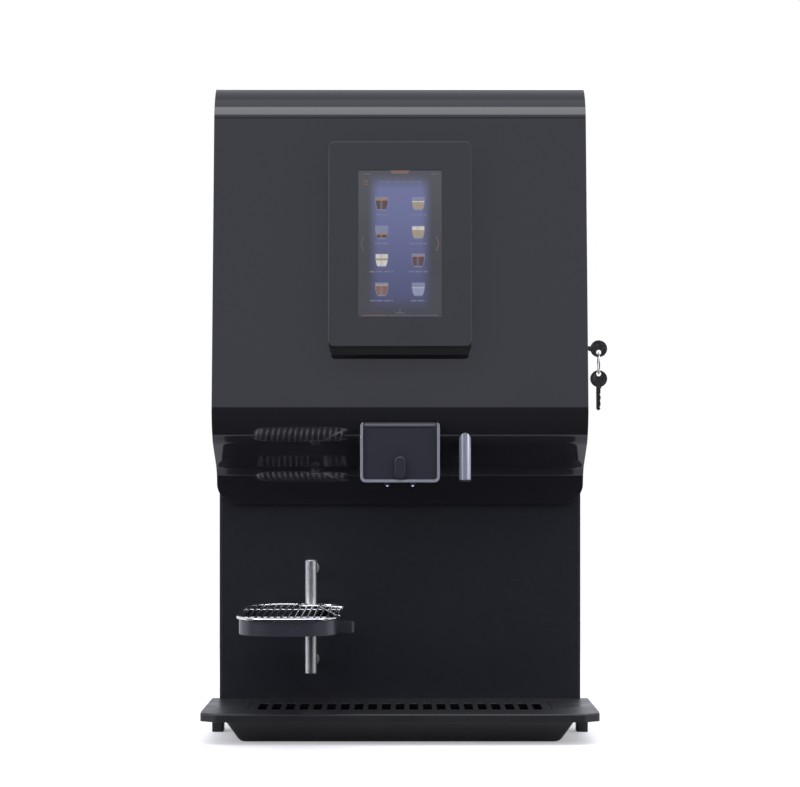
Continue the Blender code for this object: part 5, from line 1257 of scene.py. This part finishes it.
def clearHose(name, tone=(0.42, 0.47, 0.52)):
    # cloudy tube: pale walls at its sides, darker where the bore shows
    s = Shader(name, tone, 0.22, 0, 0.3)
    facing = s.node("ShaderNodeLayerWeight", {}, {"Blend": 0.5}, output="Facing")
    wet = s.noise(0.009, 3)
    inner = s.mix(wet.ramp(0.35, 0.7) * 0.6, tone, tuple(c * 0.62 for c in tone))
    s.set(colour=s.mix(facing.ramp(0.25, 0.75), inner, (0.74, 0.77, 0.80)))
    return s.bump(s.noise(0.004, 2), 0.00003, 0.3).material


milky = milkyPlastic("milkyHopper", (0.455, 0.485, 0.525))
milkyLid = milkyPlastic("milkyLid", (0.56, 0.58, 0.62), False)
elbowPlastic = satinPlastic("elbowPlastic", (0.40, 0.40, 0.385), 0.40)
whitePlastic = satinPlastic("whitePlastic", (0.66, 0.66, 0.64), 0.36)
motorBlack = satinPlastic("motorBlack", (0.0085, 0.0085, 0.0098), 0.38)
mixerBlack = mouldedPlastic("mixerPlastic", (0.0085, 0.0085, 0.0095), 0.36, depth=0.00004)
hoseClear = clearHose("clearHose")
# olive-dark finish for the painted shadow line under the hoppers' funnels
funnelShadowOlive = satinPlastic("funnelShadowOlive", (0.085, 0.078, 0.062), 0.6)
hoseWhite = clearHose("whiteHose", (0.62, 0.64, 0.66))
ringGrey = satinPlastic("clipGrey", (0.115, 0.145, 0.20), 0.3)
cableGrey = satinPlastic("cableGrey", (0.075, 0.080, 0.090), 0.5)


def hoppers():
    for word in ("left", "right"):
        node = "hopper_" + word
        shell = fromNode(node, 0.0009)
        own(shell, "cabinet", milky, "milky", node)
        lidNode = "hopper_lid_" + word
        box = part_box(lidNode)
        lid = fromNode(lidNode, 0.0010)
        middle = (box[0].x + box[1].x) / 2
        rim = block("lidLip", (box[0].x + 0.004, box[0].y + 0.004, box[1].z - 0.0012),
                    (box[1].x - 0.004, box[1].y - 0.004, box[1].z - 0.0002), 0.006, "Z", 0.0004)
        own(joined(lidNode + "Finished", lid, rim), "cabinet", milkyLid, "milky", lidNode)
        grip = plate("lidGrip", [(middle + a, 0.7690 + b) for a, b in
                                 [(0.0125 * math.cos(t), 0.0036 * math.sin(t))
                                  for t in [math.tau * i / 36 for i in range(36)]]],
                     box[0].y - 0.0030, box[0].y - 0.0002, "Y", 0.0008)
        own(grip, "cabinet", whitePlastic, "white_plastic")
        # dark olive strips painted as the shadow line under the funnel's slopes
        funnelShadowStrips = []
        for (x0, z0), (x1, z1) in (((0.0860, 0.6010), (-0.0300, 0.5185)),
                                   ((-0.0880, 0.5368), (-0.0590, 0.5155))):
            run = Vector((x1 - x0, z1 - z0)).normalized()
            down = Vector((run.y, -run.x)) if run.x > 0 else Vector((-run.y, run.x))
            line = [(middle + x0, z0), (middle + x1, z1), (middle + x1 + down.x * 0.0030,
                                                           z1 + down.y * 0.0030),
                    (middle + x0 + down.x * 0.0030, z0 + down.y * 0.0030)]
            funnelShadowStrips.append(plate("shadeLine", line, 0.0225, 0.0260, "Y", 0))
        own(joined("paintedFunnelShadow", *funnelShadowStrips), "cabinet", funnelShadowOlive, "rubber")


def elbows():
    # half-round hood over the outlet that leads down to an open tip
    for word in ("left", "right"):
        node = "elbow_" + word
        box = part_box(node)
        cx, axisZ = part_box("auger_" + word)[0].x + 0.0114, 0.536
        cz = axisZ + 0.0045
        front, rear, tip = box[0].y, box[1].y, box[0].z
        tipLeft, tipRight = cx + 0.0260, cx + 0.0445
        hood = arcPoints((cx, cz), 0.0245, 225, 30, 30)
        line = hood + [(tipRight, axisZ - 0.016), (tipRight, tip), (tipLeft, tip)]
        shell = plate(node + "Hood", line, front, rear, "Y", 0)
        pickOnly(shell)
        bpy.ops.object.mode_set(mode="EDIT")
        selectIn(shell, "EDGE", lambda e: all(v.co.y < front + 1e-5 for v in e.verts)
                 and not all(v.co.z < tip + 1e-4 for v in e.verts))
        bpy.ops.mesh.bevel(offset=0.0088, segments=9, affect="EDGES")
        bpy.ops.object.mode_set(mode="OBJECT")
        wall = 0.0016
        pocket = block("pocket", (tipLeft + wall, front + 0.0085, tip - 0.01),
                       (tipRight - wall, rear - wall, tip + 0.012),
                       0.002, "Z", 0)
        bore = rod("bore", (cx, rear - 0.006, axisZ), (cx, rear + 0.006, axisZ), 0.0143, 0, 48)
        cutOut(shell, pocket, bore)
        collar = turned("collar", [(0.0146, 0), (0.0180, 0), (0.0180, 0.0040), (0.0170, 0.0050),
                                   (0.0146, 0.0050),
                                   (0.0146, 0)], (cx, rear - 0.0050, axisZ), "Y", 56, hollow=True)
        arc = arcPoints((cx, cz), 0.0272, 196, 22, 36) + arcPoints((cx, cz), 0.0236, 22, 196, 36)
        band = plate("rimBand", arc, rear - 0.0160, rear - 0.0110, "Y", 0.0007, 50)
        nibs = []
        for turn in (196, 104, 20):
            a = math.radians(turn)
            nibs.append(rod("nib", (cx + 0.0266 * math.cos(a), rear - 0.0163, cz + 0.0266 * math.sin(a)),
                            (cx + 0.0266 * math.cos(a), rear - 0.0107, cz + 0.0266 * math.sin(a)), 0.0024,
                            0.0006, 24))
        own(joined(node + "Hood", rounded(shell, 0.0005, 2, 40), collar, band, *nibs), node, elbowPlastic,
            "milky", node)


def conveyors():
    for word in ("left", "right"):
        node = "auger_" + word
        own(fromNode(node, 0, angle=60), node, steelRod, "steel_sheet", node)
        own(fromNode("whipper_" + word, 0.0004), "whipper_" + word, whitePlastic, "white_plastic",
            "whipper_" + word)
    own(fromNode("auger_drive", 0.0008), "cabinet", motorBlack, "motor", "auger_drive")
    own(fromNode("boiler", 0.0015), "cabinet", steelPlain, "steel_sheet", "boiler")


hoppers()
elbows()
conveyors()
print("hoppers done")


# ---- mixers, motors, hoses and plate fittings
def mixers():
    for side, word in ((-1, "left"), (1, "right")):
        node = "mixer_" + word
        x, y = side * 0.0946, -0.0195
        body = fromNode(node, 0.0012, angle=40)
        band = turned("rimBand", [(0.0371, 0.4775), (0.0384, 0.4781), (0.0384, 0.4866), (0.0376, 0.4876),
                                  (0.0356, 0.4877), (0.0356, 0.4870), (0.0371, 0.4775)], (x, y, 0), sides=96,
                      hollow=True)
        notch = block("notch", (x - 0.0058, y - 0.0380, 0.4800), (x + 0.0058, y - 0.0340, 0.4874), 0.0015,
                      "Y", 0.0006)
        ear = rod("ear", (x - 0.0340, y - 0.0030, 0.4590), (x - 0.0340, y + 0.0030, 0.4590), 0.0085, 0.0010,
                  40)
        neck = turned("neck", [(0.0080, 0.3600), (0.0088, 0.3660), (0.0092, 0.3800), (0.0108, 0.4000),
                               (0.0132, 0.4180),
                               (0.0150, 0.4280)], (x, -0.0345, 0), sides=56)
        boss = turned("boss", [(0.0030, 0), (0.0062, 0.0012), (0.0082, 0.0036), (0.0088, 0.0066),
                               (0.0088, 0.0120)],
                      (x, -0.0520, 0.357), "Y", 48)
        collar = turned("outletCollar", [(0.0084, 0), (0.0092, 0.0004), (0.0092, 0.0036), (0.0084, 0.0040)],
                        (x, -0.0430, 0.357), "Y", 40)
        own(joined(node + "Finished", body, band, notch, ear, neck, boss, collar), "cabinet", mixerBlack,
            "matte_black",
            node)


def motors():
    # flange with stepped rings and a thumb tab; the can sits behind the plate
    y, z = 0.0444, 0.380
    for side, word in ((-1, "left"), (1, "right")):
        x = side * 0.0946
        node = "whipper_motor_" + word
        rings = [(0.0360, 0), (0.0360, 0.0062), (0.0348, 0.0074), (0.0318, 0.0076), (0.0310, 0.0066),
                 (0.0272, 0.0066), (0.0264, 0.0084), (0.0225, 0.0088), (0.0215, 0.0078)]
        flange = turned("flange", rings, (x, y, z), "-Y", 96)
        tab = turned("tab", [(0.0160, 0), (0.0160, 0.0052), (0.0150, 0.0062), (0.0120, 0.0063),
                             (0.0112, 0.0050)],
                     (x, y, 0.3346), "-Y", 64)
        sleeve = rod("sleeve", (x, y - 0.002, z), (x, 0.0482, z), 0.0240, 0)
        can = turned("can", [(0.0205, 0), (0.0210, 0.0006), (0.0210, 0.046), (0.0180, 0.0495),
                             (0.0060, 0.050)],
                     (x, 0.0465, z), "Y", 64)
        bosses = [rod("boss", (x + 0.0290 * math.cos(a), y - 0.0068, z + 0.0290 * math.sin(a)),
                      (x + 0.0290 * math.cos(a), y - 0.0086, z + 0.0290 * math.sin(a)), 0.0030, 0.0005, 24)
                  for a in (math.radians(d) for d in (35, 145, 215, 325))]
        body = joined(node + "Finished", flange, tab, sleeve, can, *bosses)
        cutOut(body, rod("bore", (x, y - 0.03, z), (x, y + 0.014, z), 0.0036, 0, 24))
        own(body, "cabinet", motorBlack, "matte_black", node)


def manifoldBlock():
    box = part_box("manifold")
    half, (z0, z1) = 0.0345, (0.302, 0.319)
    body = block("manifoldBody", (-half, box[0].y, z0), (half, box[1].y, z1), 0.0015, "Y", 0.0004)
    for x in (-0.0259, -0.0086, 0.0086, 0.0259):
        cutOut(body, block("window", (x - 0.0064, box[0].y - 0.01, 0.3052),
                           (x + 0.0064, box[0].y + 0.0098, 0.3122),
                           0.0030, "Y", 0))
    rounded(body, 0.0004, 2, 50)
    y = -0.002
    pieces = [body]
    for side in (-1, 0, 1):
        x = side * 0.0146
        pieces.append(turned("upstand", [(0.0058, z1 - 0.001), (0.0058, z1 + 0.0022), (0.0045, z1 + 0.0034),
                                         (0.0045, 0.3482), (0.0040, 0.3490)], (x, y, 0), sides=40))
        if side:
            pieces.append(rod("barb", (x, y, 0.345), (x + side * 0.006, y, 0.345), 0.0042, 0.0003, 32))
    own(joined("manifoldBlock", *pieces), "cabinet", mixerBlack, "matte_black", "manifold")
    nuts = [block("nutStrip", (-half + 0.0015, y - 0.0050, z1 - 0.0002),
                  (half - 0.0015, y + 0.0050, z1 + 0.0012),
                  0.001, "Y", 0.0004)]
    for x in (-0.0255, 0.0255):
        nuts.append(rod("nut", (x, y, z1 + 0.0010), (x, y, z1 + 0.0042), 0.0036, 0.0003, 6))
    for nut in nuts:
        for x in (-0.0146, 0, 0.0146):
            if nut.name.startswith("nutStrip"):
                cutOut(nut, rod("hole", (x, y, 0.31), (x, y, 0.33), 0.0060, 0, 32))
    own(joined("manifoldNuts", *nuts), "cabinet", brightSteel, "chrome")


def smoothLine(points, spacing):
    knots = [Vector(p) for p in points]
    knots = [2 * knots[0] - knots[1], *knots, 2 * knots[-1] - knots[-2]]
    line = [knots[1]]
    for a, b, c, d in zip(knots, knots[1:], knots[2:], knots[3:]):
        count = max(1, round((c - b).length / spacing))
        for i in range(1, count + 1):
            t = i / count
            line.append(0.5 * (2 * b + (c - a) * t + (2 * a - 5 * b + 4 * c - d) * t * t
                               + (3 * b - a - 3 * c + d) * t ** 3))
    return line


def hose(name, points, radius, sides=32):
    line = smoothLine(points, 0.004)
    bpy.ops.object.select_all(action="DESELECT")
    curve = bpy.data.curves.new(name, "CURVE")
    curve.dimensions, curve.bevel_depth, curve.bevel_resolution = "3D", radius, sides // 4
    curve.use_fill_caps = True
    spline = curve.splines.new("POLY")
    spline.points.add(len(line) - 1)
    for knot, spot in zip(spline.points, line):
        knot.co = (*spot, 1)
    obj = bpy.data.objects.new(name, curve)
    bpy.context.scene.collection.objects.link(obj)
    pickOnly(obj)
    bpy.ops.object.convert(target="MESH")
    return outward(bpy.context.active_object), line


def hoseClip(name, spot, along, radius, wide=0.0042, deep=0.0011):
    along = Vector(along).normalized()
    rings = [(radius + 0.0001, 0), (radius + deep * 0.8, 0), (radius + deep, deep * 0.4),
             (radius + deep, wide - deep * 0.4), (radius + deep * 0.8, wide), (radius + 0.0001, wide),
             (radius + 0.0001, 0)]
    ring = turned(name, rings, sides=48, hollow=True)
    turn = along.to_track_quat("Z", "Y").to_matrix().to_4x4()
    ring.data.transform(Matrix.Translation(Vector(spot) - along * wide / 2) @ turn)
    return ring


def insideHoses():
    y, r = -0.002, 0.0070
    for side, word in ((-1, "left"), (1, "right")):
        node = "hose_" + word
        points = [(side * 0.0860, -0.036, 0.357), (side * 0.0753, -0.036, 0.357),
                  (side * 0.064, -0.036, 0.357),
                  (side * 0.046, -0.019, 0.351), (side * 0.030, y, 0.345), (side * 0.0195, y, 0.345)]
        tube, line = hose(node + "Tube", points, r)
        own(tube, "cabinet", hoseClear, "hose", node)
        clips = [hoseClip("clip", line[k], line[k + 1] - line[k], r, 0.0026, 0.0009) for k in
                 (1, 2, 4, len(line) - 6, len(line) - 4, len(line) - 3)]
        clips += [hoseClip("clip", (line[k] + line[k + 1]) / 2, line[k + 1] - line[k], r, 0.0115, 0.0003)
                  for k in (2, len(line) - 5)]
        own(joined(node + "Clips", *clips), "cabinet", ringGrey, "rubber")
    # short riser from the plate's centre grommet to the middle upstand
    riser, _ = hose("riserHose", [(0, 0.0425, 0.365), (0, 0.030, 0.3655), (0, 0.012, 0.3640),
                                  (0, 0.0015, 0.3590),
                                  (0, -0.0018, 0.3530), (0, -0.002, 0.3455)], 0.0058)
    own(riser, "cabinet", hoseWhite, "hose")
    own(hoseClip("riserClip", (0, -0.002, 0.3480), (0, 0, 1), 0.0058), "cabinet", ringGrey, "rubber")


def doorHose():
    points = [(-0.174, 0.0567, 0.417), (-0.174, 0.030, 0.417), (-0.178, 0.008, 0.420),
              (-0.186, -0.018, 0.423),
              (-0.184, -0.045, 0.421), (-0.162, -0.066, 0.417), (-0.124, -0.078, 0.409),
              (-0.060, -0.080, 0.403),
              (0, -0.080, 0.400), (0.050, -0.080, 0.399), (0.070, -0.080, 0.395), (0.0787, -0.080, 0.3825)]
    tube, line = hose("doorHose", points, 0.0075)
    tube.data.materials.append(hoseClear)
    evenShading(tube)
    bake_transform(tube)
    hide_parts("door_hose")
    length = sum((b - a).length for a, b in zip(line, line[1:]))
    print("door hose length", round(length, 4))
    clip = hoseClip("doorHoseClip", (-0.174, 0.0375, 0.417), (0, 1, 0), 0.0075, 0.006, 0.0016)
    own(clip, "cabinet", ringGrey, "rubber")


def plateFittings():
    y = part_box("mixing_plate")[0].y
    own(fromNode("mixing_plate", 0.0003), "cabinet", steelPlate, "steel_sheet", "mixing_plate")
    grommets = []
    for x, z, outer, inner in ((-0.174, 0.417, 0.0120, 0.0079), (0, 0.365, 0.0135, 0.0062)):
        grommets.append(turned("grommet", [(inner, 0.001), (outer - 0.001, 0.001), (outer, 0),
                                           (outer, -0.0020),
                                           (outer - 0.0016, -0.0036), (inner + 0.0010, -0.0036),
                                           (inner, -0.0026),
                                           (inner, 0.001)], (x, y - 0.0012, z), "Y", 56, hollow=True))
    plug = turned("roundPlug", [(0.0140, 0), (0.0140, 0.0016), (0.0126, 0.0030), (0.0090, 0.0036),
                                (0.0040, 0.0038)],
                  (0.1770, y - 0.0001, 0.3346), "-Y", 56)
    own(joined("grommets", *grommets, plug), "cabinet", softRubber, "rubber")
    x, z = 0.1775, 0.4411
    surround = block("rockerFrame", (x - 0.0108, y - 0.0034, z - 0.0215),
                     (x + 0.0108, y - 0.0002, z + 0.0215),
                     0.0022, "Y", 0.0008)
    cutOut(surround, block("window", (x - 0.0098, y - 0.02, z - 0.0203), (x + 0.0098, y + 0.01, z + 0.0203),
                           edge=0))
    own(surround, "cabinet", mouldBlack, "matte_black")
    own(fromNode("power_rocker", 0.0007), "power_rocker", mouldBlack, "matte_black", "power_rocker")
    s = Shader("rockerGreen", (0.010, 0.090, 0.035), 0.22)
    shine = s.noise(0.004, 2, (1, 1, 0.4)).ramp(0.35, 0.65)
    s.set(glow=s.mix(shine, (0.020, 0.190, 0.065), (0.055, 0.330, 0.130)), glowStrength=0.8,
          roughness=s.noise(0.006, 3).ramp(0.4, 0.7, 0.16, 0.28))
    lens = plate("rockerLens", [(y - 0.0041, z - 0.0140), (y - 0.0015, z), (y - 0.0026, z + 0.0140),
                                (y + 0.0005, z + 0.0140),
                                (y + 0.0005, z - 0.0140)], x - 0.0053, x + 0.0053, "X", 0.0003)
    own(lens, "power_rocker", s.material, "rocker_green")
    marks = [block("mark", (x - 0.0005, y - 0.0028, z + 0.0070), (x + 0.0005, y - 0.0015, z + 0.0105),
                   edge=0.0001),
             turned("mark", [(0.0016, 0), (0.0021, 0), (0.0021, 0.0006), (0.0016, 0.0006), (0.0016, 0)],
                    (x, y - 0.0026, z - 0.0080), "-Y", 32, hollow=True)]
    own(joined("rockerMarks", *marks), "power_rocker", softRubber, "matte_black")
    screws = [panHead((x, y - 0.0001, z), "-Y", 0.0029, 0.0016) for x, z in
              ((0.196, 0.385), (-0.0335, 0.3255), (0.0335, 0.3255))]
    own(joined("plateScrews", *screws), "cabinet", steelRod, "chrome")
    # folded bright edge and the black bracket behind the bowls
    edge = block("plateEdge", (-0.199, y - 0.0060, 0.4915), (0.199, y - 0.0003, 0.4945), 0, "X", 0.0005)
    own(edge, "cabinet", steelRail, "steel_sheet")
    for side in (-1, 1):
        bracket = block("bowlBracket", (side * 0.0946 - 0.0356, 0.0040, 0.4883),
                        (side * 0.0946 + 0.0356, 0.0430, 0.4955),
                        0.003, "Z", 0.0007)
        own(bracket, "cabinet", mouldBlack, "matte_black")


def rails():
    own(fromNode("hopper_shelf", 0.0004), "cabinet", steelRail, "steel_sheet", "hopper_shelf")
    own(fromNode("lower_rail", 0.0004), "cabinet", lowerSteel, "steel_sheet", "lower_rail")
    trims = []
    front = 0.1994
    for z in (0.2962, 0.3158):
        for x0, x1 in ((-front, -0.0350), (0.0350, front)) if z > 0.30 else ((-front, front),):
            trims.append(block("railEdge", (x0, -0.00115, z - 0.0007), (x1, 0.0006, z + 0.0007), 0, "X",
                               0.0003))
    own(joined("railEdges", *trims), "cabinet", brightSteel, "chrome")
    heads = [panHead((x, -0.0001, 0.3045), "-Y", 0.0040, 0.0018) for x in (-0.175, 0.172)]
    heads += [panHead((x, -0.0001, 0.5022), "-Y", 0.0030, 0.0016) for x in (-0.190, 0.190)]
    own(joined("railScrews", *heads), "cabinet", brightSteel, "chrome")


lowerSteel = brushedSteel("railSteel", 0.42, 0.32, (0.02, 1, 1), stain=0.2, metal=0.8)
mixers()
motors()
manifoldBlock()
insideHoses()
doorHose()
plateFittings()
rails()
print("mixing side done")


# ---- flanges, hinges, rear fittings
def flangeFittings():
    heads = [panHead((x, 0.0002, z), "-Y", 0.0034, 0.0020) for x, z in
             ((-0.2115, 0.3790), (-0.2086, 0.3340), (0.2077, 0.3346), (-0.2115, 0.7115))]
    own(joined("flangeScrews", *heads), "cabinet", keyNickel, "chrome")
    # cable that passes from the left flange into the door
    x, z = -0.2110, 0.6580
    ring = turned("cableGrommet", [(0.0032, 0.0010), (0.0068, 0.0010), (0.0075, 0), (0.0066, -0.0016),
                                   (0.0044, -0.0018), (0.0032, -0.0008), (0.0032, 0.0010)], (x, -0.0006, z),
                  "Y", 40,
                  hollow=True)
    own(ring, "cabinet", softRubber, "rubber")
    cable, _ = hose("doorCable", [(x, 0.014, z), (x, 0.004, z), (x, -0.004, z), (x, -0.012, z),
                                  (x + 0.003, -0.022, z),
                                  (x + 0.010, -0.032, z + 0.004), (x + 0.022, -0.040, z + 0.012)],
                    0.0022, 16)
    cable.data.materials.append(cableGrey)
    evenShading(cable)
    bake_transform(cable)
    strap, _ = hose("earthStrap", [(-0.2115, -0.0030, 0.7115), (-0.2060, -0.0036, 0.7065),
                                   (-0.1990, -0.0020, 0.7070),
                                   (-0.1945, 0.0040, 0.7130), (-0.1935, 0.0080, 0.7220),
                                   (-0.1970, 0.0110, 0.7330)],
                    0.0013, 12)
    own(strap, "cabinet", softRubber, "rubber")
    lug = rod("strapLug", (-0.1970, 0.0100, 0.7335), (-0.1970, 0.0130, 0.7335), 0.0032, 0.0005, 24)
    pin = rod("latchPin", (-0.2250, -0.0030, 0.3990), (-0.2040, -0.0030, 0.3990), 0.0022, 0.0006, 24)
    stem = rod("pinStem", (-0.2045, -0.0030, 0.3990), (-0.2045, 0.0006, 0.3990), 0.0018, 0.0003, 20)
    strips = [block("edgeStrip", (side * 0.1991 - 0.0006, 0.0020, 0.3190),
                    (side * 0.1991 + 0.0006, 0.0050, 0.4940),
                    edge=0.0002) for side in (-1, 1)]
    strips += [block("edgeStrip", (side * 0.1991 - 0.0006, 0.0020, 0.5110),
                     (side * 0.1991 + 0.0006, 0.0050, 0.7600),
                     edge=0.0002) for side in (-1, 1)]
    own(joined("edgeFittings", lug, pin, stem, *strips), "cabinet", steelRail, "steel_sheet")
    # slot rim, oval hole, the ledge behind the hoppers and above it a black block as painted shade
    slot = block("slotRim", (0.2134 - 0.0046, -0.0006, 0.485 - 0.0166),
                 (0.2134 + 0.0046, 0.0004, 0.485 + 0.0166), 0.001,
                 "Y", 0.0002)
    cutOut(slot, block("window", (0.2134 - 0.0036, -0.01, 0.485 - 0.0156),
                       (0.2134 + 0.0036, 0.01, 0.485 + 0.0156),
                       edge=0))
    own(slot, "cabinet", steelRail, "steel_sheet")
    hole = block("flangeHole", (0.2018, -0.0004, 0.3895), (0.2142, 0.0006, 0.3985), 0.0044, "Y", 0)
    own(hole, "cabinet", softRubber, "rubber")
    ledge = block("rearLedge", (-0.198, 0.2200, 0.7060), (0.198, 0.2330, 0.7120), edge=0.0006)
    own(ledge, "cabinet", steelRail, "steel_sheet")
    posts = [block("guidePost", (x0, 0.0300, 0.5095), (x1, 0.0330, 0.7060), edge=0.0004) for x0, x1 in
             ((-0.1985, -0.1885), (-0.0034, 0.0034), (0.1885, 0.1985))]
    own(joined("guidePosts", *posts), "cabinet", wallSteel, "steel_sheet")
    caps = [block("postCap", (x0, 0.0285, 0.7062), (x1, 0.0335, 0.7125), edge=0.0004) for x0, x1 in
            ((-0.1985, -0.1885), (-0.0034, 0.0034), (0.1885, 0.1985))]
    own(joined("postCaps", *caps), "cabinet", steelRail, "steel_sheet")
    # painted shade: a black block put behind the hoppers above the ledge
    dark = block("rearShade", (-0.198, 0.2240, 0.7122), (0.198, 0.2330, 0.7680), edge=0.0006)
    own(dark, "cabinet", sheetBlack, "black_sheet")


def hinges():
    for word in ("upper", "lower"):
        own(fromNode("hinge_plate_" + word, 0.0002), "cabinet", hingeBlack, "matte_black",
            "hinge_plate_" + word)
        own(fromNode("door_hinge_" + word, 0.0002), "door", hingeBlack, "matte_black", "door_hinge_" + word)


def rearFittings():
    own(fromNode("power_inlet", 0.0006), "cabinet", mouldBlack, "matte_black", "power_inlet")
    own(fromNode("water_inlet", 0.0005), "cabinet", brassBright, "chrome", "water_inlet")
    pins = [block("pin", (0.150 + a - 0.0020, 0.3310, 0.095 + b - 0.0010),
                  (0.150 + a + 0.0020, 0.3450, 0.095 + b + 0.0010),
                  edge=0.0003) for a, b in ((-0.0070, -0.0022), (0.0070, -0.0022), (0, 0.0024))]
    own(joined("inletPins", *pins), "cabinet", keyNickel, "chrome")
    screws = [panHead((0.150 + a, 0.3505 - 0.0014, 0.095), "Y", 0.0026, 0.0012) for a in (-0.0200, 0.0200)]
    own(joined("inletScrews", *screws), "cabinet", steelRod, "chrome")


hingeBlack = satinPlastic("hingeBlack", (0.024, 0.024, 0.027), 0.36)
brassBright = polishedSteel("inletMetal", 0.62, 0.22, 1.05)
flangeFittings()
hinges()
rearFittings()
print("fittings done")
